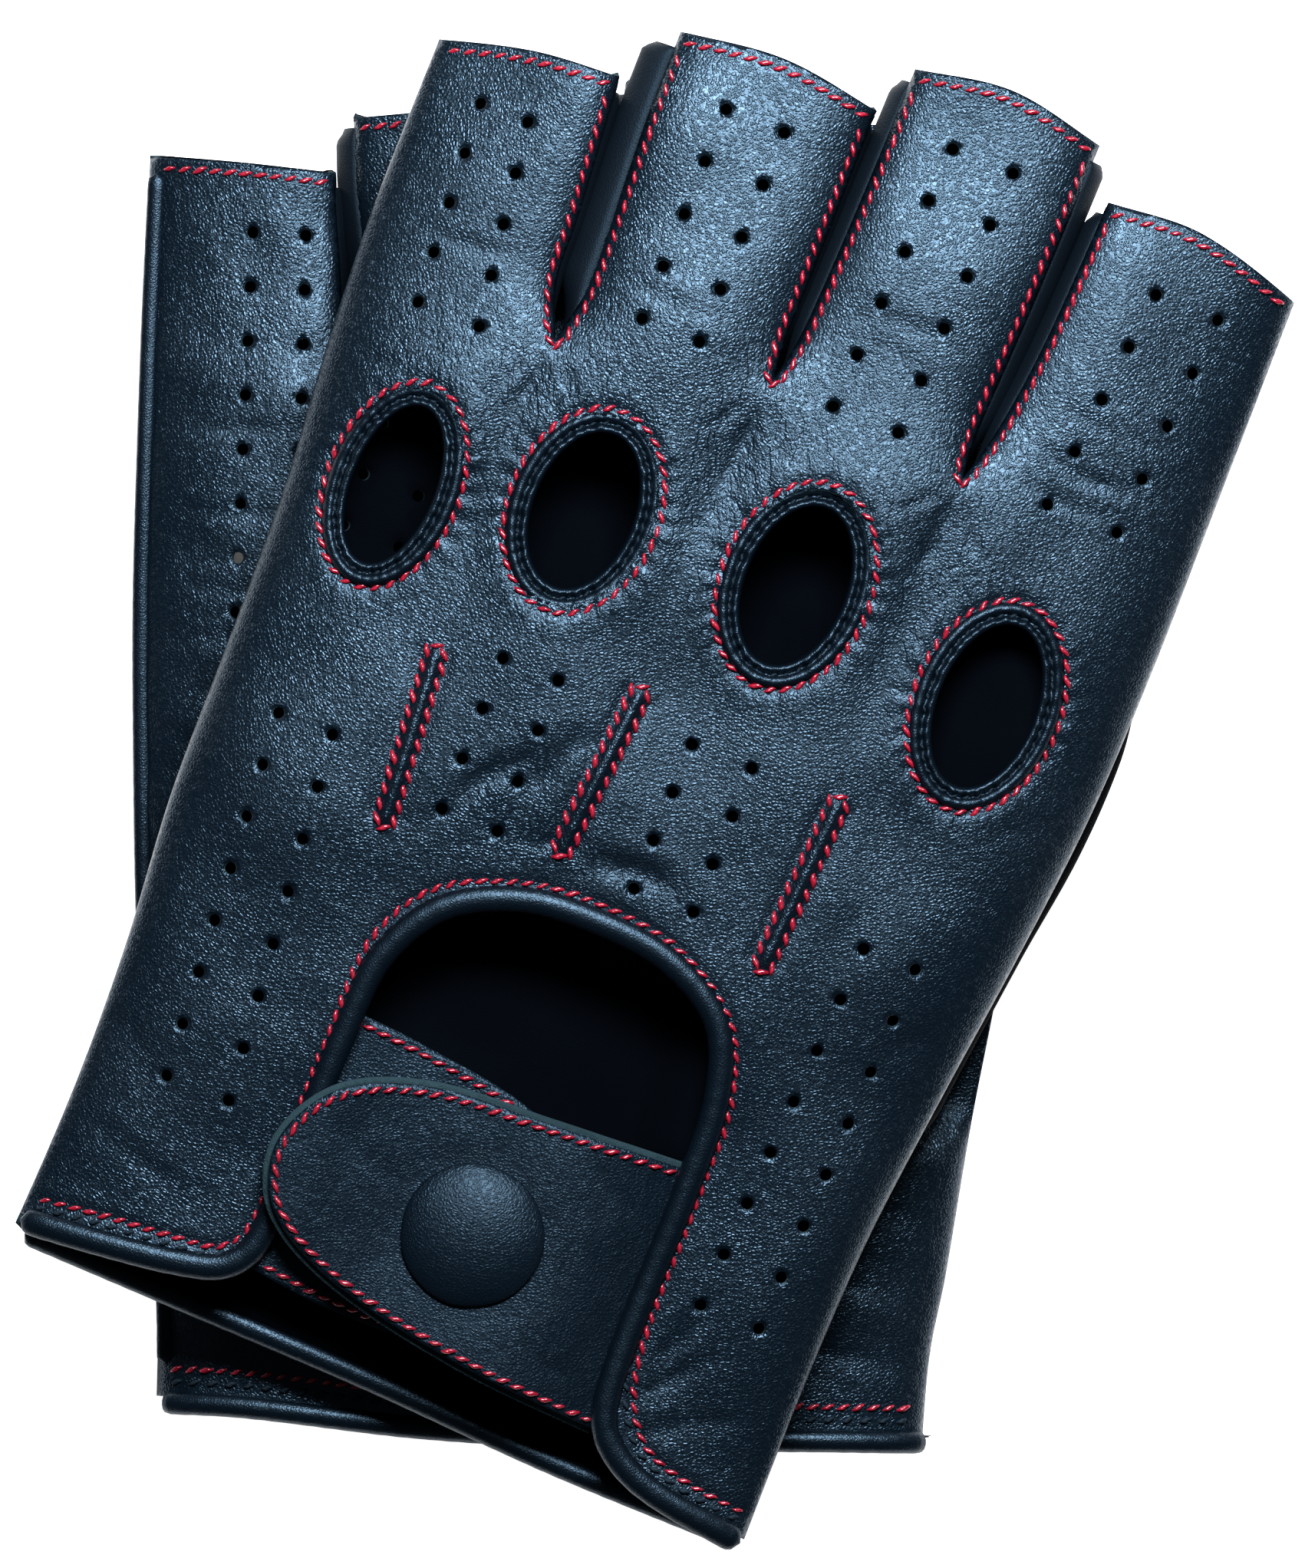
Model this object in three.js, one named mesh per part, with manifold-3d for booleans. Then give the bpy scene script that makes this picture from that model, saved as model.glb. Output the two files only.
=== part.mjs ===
// A pair of fingerless leather driving gloves in millimetres, +Z up.
// The left glove lies back up, crossed over the right glove, which lies palm up.
// Each glove is drawn in its own frame: +X to the thumb side, +Y to the fingers, +Z out of the back
// of the hand, with the origin at the middle of the wrist hem. The right glove is the mirror image
// of the left through the plane of the hand, so it is drawn the same way and placed with Z reversed.
import * as THREE from "three";
import { mergeVertices } from "three/addons/utils/BufferGeometryUtils.js";
import Module from "manifold-3d";

const wasm = await Module();
wasm.setup();

// Leather and gaps
const LEATHER = 1.0;
const THIN_LEATHER = 0.8;
const GAP = 0.3; // between pieces that touch
const FAR = 90; // well outside the glove, for cutting shapes
const TIP_ROW = 184; // beyond the longest finger
const HEM_ROW = -8; // below the wrist hem
const BELOW_HEM = -30; // where the fingers' cutting outline is closed
const CUT_HALF = 40; // cutting prisms reach this far above and below the mid plane

// Placing of the two gloves: wrist origin x, y, height of the hand's mid plane, turn about Z
const LEFT_PLACE = { x: -35.14, y: -75.26, z: 26.1, turn: -22 };
const RIGHT_PLACE = { x: -14.28, y: -79.10, z: 8.8, turn: -3.3 };

// Plan edges of each glove as [y, x] pairs, and palm hem as [x, y] pairs
const LEFT_SHAPE = {
  littleSide: [[-6, -50], [20, -49.3], [40, -50], [60, -51.8], [80, -52.3], [100, -53], [120, -54.8],
    [140, -55.9], [184, -56]],
  thumbSide: [[-6, 50], [20, 49.7], [40, 50.2], [60, 52.1], [80, 54.4], [100, 56.2], [120, 56.6],
    [140, 56.3], [184, 55.6]],
  palmHem: [[-50, 1.5], [-25, 0.9], [0, 0.4], [25, -0.7], [50, -0.7]],
};
const RIGHT_SHAPE = {
  littleSide: [[-6, -48.8], [10, -49.5], [30, -52], [60, -55], [80, -56.5], [100, -57.7], [120, -58.3],
    [140, -58.7], [184, -59]],
  thumbSide: [[-6, 48], [10, 48.4], [20, 49.8], [40, 52], [60, 54.6], [80, 55.8], [120, 56.3],
    [140, 56], [184, 55]],
  palmHem: [[-50, -1.4], [-38, -1.2], [-15, -2.5], [10, -2.5], [35, -1.3], [50, -0.8]],
};

// Height of the back and depth of the palm along the hand, as [y, height] pairs
const BACK_HEIGHT = [[-10, 4.1], [20, 4.6], [40, 5.6], [65, 7.0], [90, 7.2], [125, 7.0], [145, 6.0],
  [190, 6.0]];
const PALM_DEPTH = [[-10, 5.6], [20, 6.6], [45, 7.7], [120, 7.7], [145, 6.0], [190, 6.0]];
const SIDE_ROUNDNESS = 5; // exponent of the hand's cross-section

// Finger ends: [left x, y], [middle x, y], [right x, y] of each finger's cut edge
const FINGER_ENDS = {
  little: [[-60, 158.7], [-45, 162.7], [-33.2, 163.8]],
  ring: [[-28.3, 172], [-15, 173.1], [-1.7, 171.6]],
  middle: [[0.7, 178.4], [13, 180.4], [25.8, 178.2]],
  index: [[29.4, 172.2], [42, 172.6], [60, 168.2]],
};
const PALM_TIP_SHORTER = 1.0;
const FOURCHETTE_HALF = 4.3; // half its height, across the finger's thickness
const FOURCHETTE_INSET = 0.2; // behind the slot's cut edge
const FOURCHETTE_SHORTER = 2.5; // it stops this far below the finger's cut end
// The right glove's fingers are a little shorter, and its little and ring fingers lie closer together
const RIGHT_FINGER_ENDS = {
  little: [[-60, 156.2], [-47, 156.0], [-35.3, 155.4]],
  ring: [[-33.4, 162.5], [-18, 164.2], [-1.7, 162.8]],
  middle: [[0.7, 168.9], [13, 170.9], [25.8, 168.7]],
  index: [[29.4, 165.2], [42, 165.6], [60, 161.2]],
};

// Finger slots: crotch point and the two cut edges, as [x, y] from the crotch upwards
const SLOTS = {
  ring_little: {
    crotch: [-28.3, 130],
    low: [[-30.9, 137], [-31.4, 145], [-32.3, 155], [-33.2, 164]],
    high: [[-27.2, 137], [-27.5, 148], [-28.1, 160], [-28.3, 172]],
  },
  middle_ring: {
    crotch: [-1.2, 135.5],
    low: [[-1.6, 141], [-1.6, 150], [-1.7, 160], [-1.8, 172]],
    high: [[-0.2, 141], [0.3, 150], [0.6, 165], [0.7, 179]],
  },
  index_middle: {
    crotch: [25.4, 133],
    low: [[25.0, 139], [25.2, 146], [25.5, 156], [25.8, 179]],
    high: [[26.9, 139], [28.1, 147], [28.8, 156], [29.4, 172]],
  },
};

const RIGHT_SLOTS = {
  ...SLOTS,
  ring_little: {
    crotch: [-30.2, 128],
    low: [[-32.8, 135], [-34.0, 144], [-34.9, 151], [-35.3, 156]],
    high: [[-29.9, 135], [-31.2, 145], [-32.6, 154], [-33.4, 163]],
  },
};

// Knuckle holes: centre x, y, half width and half length of the opening
const KNUCKLES = {
  little: [-40.3, 105.8, 5.2, 10.3],
  ring: [-17, 111.7, 6.3, 10.1],
  middle: [11.1, 112.9, 6.3, 10.3],
  index: [38.9, 107.9, 6.1, 10.6],
};
const RING_WIDTH = 2.4;
const RING_RISE = 1.0; // above the panel
const RING_DROP = 1.6; // below the panel's outside
const RING_ROLL = 0.5; // how far the crown of the roll is drawn in

// Centre line of the piping round the back's hem and the wrist window, from the little side
const WINDOW_EDGE = [[-47.5, 3.3], [-38, 4.2], [-29, 5.5], [-23.5, 7.2], [-20.8, 11], [-20.4, 22], [-20.4, 40],
  [-19.6, 50.5], [-14.8, 59], [-6, 63.7], [4, 64.7], [14, 63.5], [22.4, 58.6], [25.9, 50], [26.7, 38],
  [26.9, 14], [28.6, 6], [35, 1.6], [47.5, -0.7]];
const PIPING_RADIUS = 1.3;
const PALM_PIPING_HALF = 47.2; // half its length, short of the side seams

// Strap: plan outline in two curves from the root to the round end, and height of its underside
const STRAP_TOP = [[25, 40.2], [8, 39.2], [-8, 37.9], [-18.5, 33.2], [-23.2, 24.5]];
const STRAP_BOTTOM = [[-23.2, 24.5], [-20.5, 16.2], [-10, 10.4], [8, 6.7], [25, 5.4]];
const STRAP_HEIGHT = [[-30, 7.6], [-18.5, 7.5], [-13, 6.5], [-6, 5.5], [4, 5.4], [13.5, 5.3], [19, 4.3],
  [26, 1.9]];
const STRAP_LEATHER = 0.9;
const LINING_DROP = 1.0; // its underside below the strap's
const LINING_LEATHER = 0.7;

// Stud tab, sewn under the little side of the window
const TAB_TOP = [[-24, 43.2], [-8, 41.9], [6, 39.2], [13, 33], [15.5, 23]];
const TAB_BOTTOM = [[15.5, 23], [13, 13], [6, 8.2], [-8, 7.0], [-24, 8.6]];
const TAB_HEIGHT = [[-30, 1.2], [-19, 1.3], [-8, 0.9], [4, 0.6], [20, 0.5]];

// Snap fastener
const SNAP_AT = [4, 22.5];
const CAP_RADIUS = 9;
const CAP_TALL = 2.2;
const CAP_FLAT = 5; // radius of the flat crown
const CAP_SIDE = 1.2; // height of its widest part, before the crown
const SOCKET_RADIUS = 6;
const SOCKET_BORE = 2.6;
const SOCKET_TALL = 1.3;
const STUD_FLANGE_RADIUS = 5;
const STUD_POST_RADIUS = 1.9;
const STUD_TALL = 2.0;
const POST_FLANGE_RADIUS = 4.5;
const POST_FLANGE_THICK = 0.7;

// Thumb, lying flat under the palm; its root turns about the thumb hole's centre
const THUMB_AT = [41, 60];
const THUMB_TOP = -1.6;
const THUMB_THICK = 6.9;
const THUMB_ROOT_RADIUS = 11;
const THUMB_LONG = 58;
const THUMB_HOLE_RADIUS = 8.5;
const THUMB_MIDDLE = [[-12, 0], [0, 0], [20, 1.2], [70, 1.4]]; // sideways shift along its length
const THUMB_HALF_WIDTH = [[0, 11], [20, 15], [40, 15.1], [70, 14.4]];
const THUMB_STATIONS = [0, 0.04, 0.09, 0.16, 0.28, 0.45, 0.7, 1]; // where its sections lie, in shares
const THUMB_SIDES = 16;
const THUMB_FLATNESS = { across: 0.45, up: 0.8 }; // powers of the section's cosine and sine
const PALM_HOLLOW = { depth: 1.2, x: [16.5, 24], yLow: [34, 43], yHigh: [121, 130] };

const COLOURS = { leather: 0x0d1620, lining: 0x10161c, metal: 0x6f6a60 };

// ---- curves -------------------------------------------------------------------------------------

// Smooth value at t through [t, value] pairs (cubic with Catmull-Rom slopes)
function valueAt(pairs, t) {
  const last = pairs.length - 1;
  const at = Math.min(Math.max(t, pairs[0][0]), pairs[last][0]);
  let i = 0;
  while (i < last - 1 && at > pairs[i + 1][0]) i += 1;
  const slope = (k) => {
    const [a, b] = [pairs[Math.max(k - 1, 0)], pairs[Math.min(k + 1, last)]];
    return (b[1] - a[1]) / (b[0] - a[0]);
  };
  const [x0, y0] = pairs[i];
  const [x1, y1] = pairs[i + 1];
  const h = x1 - x0;
  const s = (at - x0) / h;
  const s2 = s * s;
  const s3 = s2 * s;
  return (2 * s3 - 3 * s2 + 1) * y0 + (s3 - 2 * s2 + s) * h * slope(i)
    + (3 * s2 - 2 * s3) * y1 + (s3 - s2) * h * slope(i + 1);
}

// Points along a smooth plan curve through [x, y] pairs
function alongCurve(pairs, count) {
  const curve = new THREE.SplineCurve(pairs.map(([x, y]) => new THREE.Vector2(x, y)));
  return curve.getSpacedPoints(count);
}

// A plan curve moved sideways, to the left of its direction of travel
function offsetCurve(points, distance) {
  return points.map((p, i) => {
    const before = points[Math.max(i - 1, 0)];
    const after = points[Math.min(i + 1, points.length - 1)];
    const along = after.clone().sub(before).normalize();
    return new THREE.Vector2(p.x - along.y * distance, p.y + along.x * distance);
  });
}

const smooth = (t) => {
  const s = Math.min(Math.max(t, 0), 1);
  return s * s * (3 - 2 * s);
};
const ramp = (range, t) => smooth((t - range[0]) / (range[1] - range[0]));

// ---- solids -------------------------------------------------------------------------------------

// A manifold-3d solid from a closed three.js geometry
function solidOf(geometry) {
  const bare = geometry.index ? geometry.toNonIndexed() : geometry.clone();
  const corners = new THREE.BufferGeometry();
  corners.setAttribute("position", bare.getAttribute("position"));
  const merged = mergeVertices(corners, 1e-4);
  return new wasm.Manifold(new wasm.Mesh({
    numProp: 3,
    vertProperties: merged.attributes.position.array,
    triVerts: new Uint32Array(merged.index.array),
  }));
}

function geometryOf(solid) {
  const mesh = solid.getMesh();
  const step = mesh.numProp;
  const positions = new Float32Array(mesh.numVert * 3);
  for (let i = 0; i < mesh.numVert; i += 1) {
    positions.set(mesh.vertProperties.subarray(i * step, i * step + 3), i * 3);
  }
  const geometry = new THREE.BufferGeometry();
  geometry.setAttribute("position", new THREE.BufferAttribute(positions, 3));
  geometry.setIndex(new THREE.BufferAttribute(mesh.triVerts, 1));
  geometry.computeVertexNormals();
  return geometry;
}

// The solid between two surfaces, each a function of (u, v) from 0 to 1; upper(u, v) lies over
// lower(u, v), u runs along +X and v along +Y. Its rim is closed.
function slab(upper, lower, columns, rows) {
  const positions = [];
  const across = columns + 1;
  [upper, lower].forEach((surface) => {
    for (let j = 0; j <= rows; j += 1) {
      for (let i = 0; i <= columns; i += 1) positions.push(...surface(i / columns, j / rows));
    }
  });
  const under = across * (rows + 1);
  const faces = [];
  const quad = (a, b, c, d) => faces.push(a, b, c, a, c, d);
  for (let j = 0; j < rows; j += 1) {
    for (let i = 0; i < columns; i += 1) {
      const a = j * across + i;
      const [b, c, d] = [a + 1, a + 1 + across, a + across];
      quad(a, b, c, d);
      quad(under + d, under + c, under + b, under + a);
    }
  }
  for (let i = 0; i < columns; i += 1) {
    const top = rows * across + i;
    quad(i, under + i, under + i + 1, i + 1);
    quad(top + 1, under + top + 1, under + top, top);
  }
  for (let j = 0; j < rows; j += 1) {
    const a = j * across;
    const b = a + columns;
    quad(a + across, under + a + across, under + a, a);
    quad(b, under + b, under + b + across, b + across);
  }
  const geometry = new THREE.BufferGeometry();
  geometry.setAttribute("position", new THREE.Float32BufferAttribute(positions, 3));
  geometry.setIndex(faces);
  return solidOf(geometry);
}

// A closed body lofted through rings of points, with fans closing both ends
function loft(rings) {
  const count = rings[0].length;
  const positions = rings.flat(2);
  const faces = [];
  for (let j = 0; j < rings.length - 1; j += 1) {
    for (let i = 0; i < count; i += 1) {
      const a = j * count + i;
      const b = j * count + ((i + 1) % count);
      faces.push(a, b, b + count, a, b + count, a + count);
    }
  }
  const lastRing = (rings.length - 1) * count;
  for (let i = 1; i < count - 1; i += 1) {
    faces.push(0, i + 1, i, lastRing, lastRing + i, lastRing + i + 1);
  }
  const geometry = new THREE.BufferGeometry();
  geometry.setAttribute("position", new THREE.Float32BufferAttribute(positions, 3));
  geometry.setIndex(faces);
  return solidOf(geometry);
}

// A prism through everything, from a closed plan outline of Vector2 points
function prism(points, low = -CUT_HALF, high = CUT_HALF) {
  const options = { depth: high - low, bevelEnabled: false };
  const geometry = new THREE.ExtrudeGeometry(new THREE.Shape(points), options);
  geometry.translate(0, 0, low);
  return solidOf(geometry);
}

function ovalPoints(x, y, halfWidth, halfLength, count = 16) {
  return new THREE.EllipseCurve(x, y, halfWidth, halfLength).getPoints(count).slice(0, count);
}

// A round bar along a 3-D curve
function bar(points, radius, steps, sides = 6) {
  const section = new THREE.Shape(ovalPoints(0, 0, radius, radius, sides));
  const extrudePath = new THREE.CatmullRomCurve3(points);
  return solidOf(new THREE.ExtrudeGeometry(section, { extrudePath, steps, bevelEnabled: false }));
}

// A turned piece on the snap's axis; profile is [radius, z] pairs from the axis and back to it
function turned(profile, sides = 24) {
  const lathe = new THREE.LatheGeometry(profile.map(([r, z]) => new THREE.Vector2(r, z)), sides);
  lathe.rotateX(Math.PI / 2);
  lathe.translate(SNAP_AT[0], SNAP_AT[1], 0);
  return solidOf(lathe);
}

// ---- the hand's surfaces ------------------------------------------------------------------------

// Cross-section of the hand at y: |X|^SIDE_ROUNDNESS + |Z|^2 = 1, scaled to the hand's width
function handSection(shape, y) {
  const left = valueAt(shape.littleSide, y);
  const right = valueAt(shape.thumbSide, y);
  return { middle: (left + right) / 2, half: (right - left) / 2 };
}

function fullness(shape, x, y) {
  const { middle, half } = handSection(shape, y);
  const side = Math.min(Math.abs(x - middle) / half, 1);
  return Math.sqrt(1 - side ** SIDE_ROUNDNESS);
}

const backHeight = (shape, x, y) => valueAt(BACK_HEIGHT, y) * fullness(shape, x, y);

// Share of the palm's depth that is pressed in to make room for the folded thumb
function thumbHollow(x, y) {
  const { x: across, yLow, yHigh } = PALM_HOLLOW;
  return ramp(across, x) * ramp(yLow, y) * (1 - ramp(yHigh, y));
}

function palmDepthAt(x, y) {
  const full = valueAt(PALM_DEPTH, y);
  return full + (PALM_HOLLOW.depth - full) * thumbHollow(x, y);
}

// A leather sheet over the hand. side is 1 for the back and -1 for the palm, inset moves it inwards.
function handSheet(shape, side, inset) {
  return (u, v) => {
    const y = HEM_ROW + v * (TIP_ROW - HEM_ROW);
    const { middle, half } = handSection(shape, y);
    const angle = Math.PI * (1 - u);
    const across = Math.sign(Math.cos(angle)) * Math.abs(Math.cos(angle)) ** (2 / SIDE_ROUNDNESS);
    const x = middle + (half - inset) * across;
    const full = side > 0 ? valueAt(BACK_HEIGHT, y) : palmDepthAt(x, y);
    return [x, y, side * (GAP / 2 + (full - inset - GAP / 2) * Math.sin(angle))];
  };
}

// Plan outline of the fingers down to a straight line below the hem
function fingerOutline(shape, shorter) {
  const end = (points) => alongCurve(points, 4).map((p) => new THREE.Vector2(p.x, p.y - shorter));
  const slotEdges = (slot) => [
    alongCurve([slot.crotch, ...slot.low], 8).reverse(),
    alongCurve([slot.crotch, ...slot.high], 8).slice(1),
  ];
  const trim = (points, limit) => points.filter((p) => p.y < limit - 1);
  const ends = {};
  Object.keys(shape.ends).forEach((name) => { ends[name] = end(shape.ends[name]); });
  const outline = [new THREE.Vector2(-FAR, BELOW_HEM), new THREE.Vector2(-FAR, ends.little[0].y)];
  outline.push(...ends.little);
  [["little", "ring_little", "ring"], ["ring", "middle_ring", "middle"], ["middle", "index_middle", "index"]]
    .forEach(([low, slotName, high]) => {
      const [down, up] = slotEdges(shape.slots[slotName]);
      const lowEnd = ends[low][ends[low].length - 1].y;
      outline.push(...trim(down, lowEnd), ...trim(up, ends[high][0].y), ...ends[high]);
    });
  const lastEnd = ends.index[ends.index.length - 1].y;
  outline.push(new THREE.Vector2(FAR, lastEnd), new THREE.Vector2(FAR, BELOW_HEM));
  return outline.reverse();
}

const windowLine = () => alongCurve(WINDOW_EDGE, 60);

function backPanel(shape) {
  const sheet = slab(handSheet(shape, 1, 0), handSheet(shape, 1, LEATHER), 12, 10);
  const edge = offsetCurve(windowLine(), PIPING_RADIUS + GAP);
  const first = edge[0];
  const last = edge[edge.length - 1];
  const below = prism([new THREE.Vector2(-FAR, -CUT_HALF), new THREE.Vector2(FAR, -CUT_HALF),
    new THREE.Vector2(FAR, last.y - 1.5), ...edge.slice().reverse(), new THREE.Vector2(-FAR, first.y - 1)]);
  let panel = sheet.intersect(prism(fingerOutline(shape, 0))).subtract(below);
  Object.values(KNUCKLES).forEach(([x, y, w, l]) => {
    panel = panel.subtract(prism(ovalPoints(x, y, w + RING_WIDTH + GAP, l + RING_WIDTH + GAP)));
  });
  return panel;
}

function palmPanel(shape) {
  const sheet = slab(handSheet(shape, -1, LEATHER), handSheet(shape, -1, 0), 16, 20);
  const hem = alongCurve(shape.palmHem, 12).map((p) => new THREE.Vector2(p.x, p.y + PIPING_RADIUS + GAP));
  const below = prism([new THREE.Vector2(-FAR, -CUT_HALF), new THREE.Vector2(FAR, -CUT_HALF),
    new THREE.Vector2(FAR, hem[hem.length - 1].y), ...hem.slice().reverse(),
    new THREE.Vector2(-FAR, hem[0].y)]);
  const thumbHole = prism(ovalPoints(...THUMB_AT, THUMB_HOLE_RADIUS, THUMB_HOLE_RADIUS));
  return sheet.intersect(prism(fingerOutline(shape, PALM_TIP_SHORTER))).subtract(below).subtract(thumbHole);
}

// A fourchette: one strip from a finger's end down to the crotch and up the next finger, on edge
function fourchette(slot, lowEnd, highEnd) {
  const below = (points, end) => points.filter((p) => p.y < end - FOURCHETTE_SHORTER);
  const low = below(alongCurve([slot.crotch, ...slot.low], 8), lowEnd).reverse();
  const high = below(alongCurve([slot.crotch, ...slot.high], 8).slice(1), highEnd);
  const line = [...low, ...high];
  const inner = offsetCurve(line, -FOURCHETTE_INSET);
  const outer = offsetCurve(line, -FOURCHETTE_INSET - THIN_LEATHER);
  const steps = line.length - 1;
  const edgeAt = (height) => (u, v) => {
    const i = Math.round(v * steps);
    const p = inner[i].clone().lerp(outer[i], u);
    return [p.x, p.y, height];
  };
  return slab(edgeAt(FOURCHETTE_HALF), edgeAt(-FOURCHETTE_HALF), 1, steps);
}

// A knuckle ring: the rolled binding round the hole, standing a little proud of the panel
function knuckleRing(shape, [x, y, w, l]) {
  const top = backHeight(shape, x, y) + RING_RISE;
  const bottom = backHeight(shape, x, y) - RING_DROP;
  const oval = (wider, low, high) => prism(ovalPoints(x, y, w + wider, l + wider), low, high);
  const ringBetween = (inset, low, high) => oval(RING_WIDTH - inset, low, high)
    .subtract(oval(inset, low - 1, high + 1));
  return ringBetween(0, bottom, top - RING_ROLL).add(ringBetween(RING_ROLL, bottom, top));
}

function windowBinding(shape) {
  const points = alongCurve(WINDOW_EDGE, 36)
    .map((p) => new THREE.Vector3(p.x, p.y, backHeight(shape, p.x, p.y) - LEATHER / 2));
  return bar(points, PIPING_RADIUS, 44);
}

function palmBinding(shape) {
  const points = alongCurve(shape.palmHem, 16)
    .filter((p) => Math.abs(p.x) < PALM_PIPING_HALF)
    .map((p) => {
      const depth = palmDepthAt(p.x, p.y) * fullness(shape, p.x, p.y);
      return new THREE.Vector3(p.x, p.y, LEATHER / 2 - depth);
    });
  return bar(points, PIPING_RADIUS, 12);
}

// A flat strap or tab cut to a plan outline and bent to a height profile
function bentPiece(outline, profile, lift, thick) {
  const xs = outline.map((p) => p.x);
  const low = Math.min(...xs) - 1;
  const wide = Math.max(...xs) + 1 - low;
  const surface = (rise) => (u, v) => {
    const x = low + u * wide;
    return [x, v * 60, valueAt(profile, x) + lift + rise];
  };
  return slab(surface(thick), surface(0), 14, 1).intersect(prism(outline));
}

function strapOutline() {
  return [...alongCurve(STRAP_TOP, 16), ...alongCurve(STRAP_BOTTOM, 16).slice(1)];
}

function tabOutline() {
  return [...alongCurve(TAB_TOP, 10), ...alongCurve(TAB_BOTTOM, 10).slice(1)].reverse();
}

const strapUnderside = valueAt(STRAP_HEIGHT, SNAP_AT[0]);
const strapOuter = () => bentPiece(strapOutline(), STRAP_HEIGHT, 0, STRAP_LEATHER);
const strapLining = () => bentPiece(strapOutline(), STRAP_HEIGHT, -LINING_DROP, LINING_LEATHER);
const studTab = () => bentPiece(tabOutline(), TAB_HEIGHT, 0, LEATHER);

// Snap pieces, from the top: covered cap, socket under the strap, stud on the tab, rivet under it
function snapCap() {
  const base = strapUnderside + STRAP_LEATHER + GAP;
  return turned([[0, base], [CAP_RADIUS - 0.8, base], [CAP_RADIUS, base + 0.7],
    [CAP_RADIUS - 0.5, base + CAP_SIDE], [CAP_FLAT + 1.6, base + CAP_TALL - 0.25],
    [CAP_FLAT, base + CAP_TALL], [0, base + CAP_TALL]]);
}

function snapSocket() {
  const top = strapUnderside - LINING_DROP - GAP;
  const bottom = top - SOCKET_TALL;
  return turned([[SOCKET_BORE, bottom], [SOCKET_RADIUS - 0.8, bottom], [SOCKET_RADIUS, top - 0.5],
    [SOCKET_RADIUS, top], [SOCKET_BORE, top], [SOCKET_BORE, bottom]], 20);
}

function snapStud() {
  const base = valueAt(TAB_HEIGHT, SNAP_AT[0]) + LEATHER + GAP;
  return turned([[0, base], [STUD_FLANGE_RADIUS, base], [STUD_FLANGE_RADIUS - 0.4, base + 0.5],
    [STUD_POST_RADIUS - 0.2, base + 0.6], [STUD_POST_RADIUS, base + 1.6],
    [STUD_POST_RADIUS - 0.6, base + STUD_TALL], [0, base + STUD_TALL]], 20);
}

function snapPost() {
  const top = valueAt(TAB_HEIGHT, SNAP_AT[0]) - GAP - 0.1;
  const bottom = top - POST_FLANGE_THICK;
  return turned([[0, bottom], [POST_FLANGE_RADIUS - 0.5, bottom], [POST_FLANGE_RADIUS, top - 0.3],
    [POST_FLANGE_RADIUS, top], [0, top]], 20);
}

// The thumb: a flattened tube with a round root, open at its cut end and open to the palm's hole
function thumbBody(inset, extra) {
  const rows = [];
  const low = -THUMB_ROOT_RADIUS + inset + 0.05;
  const high = THUMB_LONG + extra;
  THUMB_STATIONS.forEach((share) => {
    const y = low + share * (high - low);
    const rootRadius = THUMB_ROOT_RADIUS - inset;
    const rootHalf = Math.sqrt(Math.max(rootRadius ** 2 - y * y, 0.04));
    const half = y < 0 ? rootHalf : valueAt(THUMB_HALF_WIDTH, y) - inset;
    const rootTall = Math.sqrt(Math.max(1 - (y / rootRadius) ** 4, 0.01));
    const tall = (THUMB_THICK / 2 - inset) * (y < 0 ? rootTall : 1);
    const ring = [];
    for (let i = 0; i < THUMB_SIDES; i += 1) {
      const angle = (2 * Math.PI * i) / THUMB_SIDES;
      const across = Math.sign(Math.cos(angle)) * Math.abs(Math.cos(angle)) ** THUMB_FLATNESS.across;
      const up = Math.sign(Math.sin(angle)) * Math.abs(Math.sin(angle)) ** THUMB_FLATNESS.up;
      ring.push([THUMB_AT[0] + valueAt(THUMB_MIDDLE, y) - half * across, THUMB_AT[1] + y,
        THUMB_TOP - THUMB_THICK / 2 + tall * up]);
    }
    rows.push(ring);
  });
  return loft(rows);
}

function thumb() {
  const middle = THUMB_TOP - THUMB_THICK / 2;
  const hole = prism(ovalPoints(...THUMB_AT, THUMB_HOLE_RADIUS, THUMB_HOLE_RADIUS), middle, CUT_HALF);
  return thumbBody(0, 0).subtract(thumbBody(THIN_LEATHER, 4)).subtract(hole);
}

// ---- assembly -----------------------------------------------------------------------------------

function meshOf(name, solid, colour, roughness = 0.5, metalness = 0) {
  const material = new THREE.MeshStandardMaterial({ color: colour, roughness, metalness });
  const mesh = new THREE.Mesh(geometryOf(solid), material);
  mesh.name = name;
  return mesh;
}

function glove(prefix, shape) {
  const group = new THREE.Group();
  const add = (name, solid, colour = COLOURS.leather, roughness = 0.5, metalness = 0) => {
    group.add(meshOf(`${prefix}_${name}`, solid, colour, roughness, metalness));
  };
  add("back_panel", backPanel(shape));
  add("palm_panel", palmPanel(shape));
  [["ring_little", "little", "ring"], ["middle_ring", "ring", "middle"], ["index_middle", "middle", "index"]]
    .forEach(([slotName, low, high]) => {
      const lowEnd = shape.ends[low][2][1];
      const highEnd = shape.ends[high][0][1];
      add(`fourchette_${slotName}`, fourchette(shape.slots[slotName], lowEnd, highEnd));
    });
  add("thumb", thumb());
  Object.entries(KNUCKLES).forEach(([name, hole]) => add(`knuckle_ring_${name}`, knuckleRing(shape, hole)));
  add("window_binding", windowBinding(shape));
  add("palm_binding", palmBinding(shape));
  add("strap", strapOuter());
  add("strap_lining", strapLining(), COLOURS.lining, 0.7);
  add("stud_tab", studTab());
  add("snap_cap", snapCap(), COLOURS.leather, 0.45);
  add("snap_socket", snapSocket(), COLOURS.metal, 0.35, 1);
  add("snap_stud", snapStud(), COLOURS.metal, 0.35, 1);
  add("snap_post", snapPost(), COLOURS.metal, 0.35, 1);
  return group;
}

function place(group, { x, y, z, turn }) {
  group.position.set(x, y, z);
  group.rotation.z = THREE.MathUtils.degToRad(turn);
  return group;
}

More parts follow.
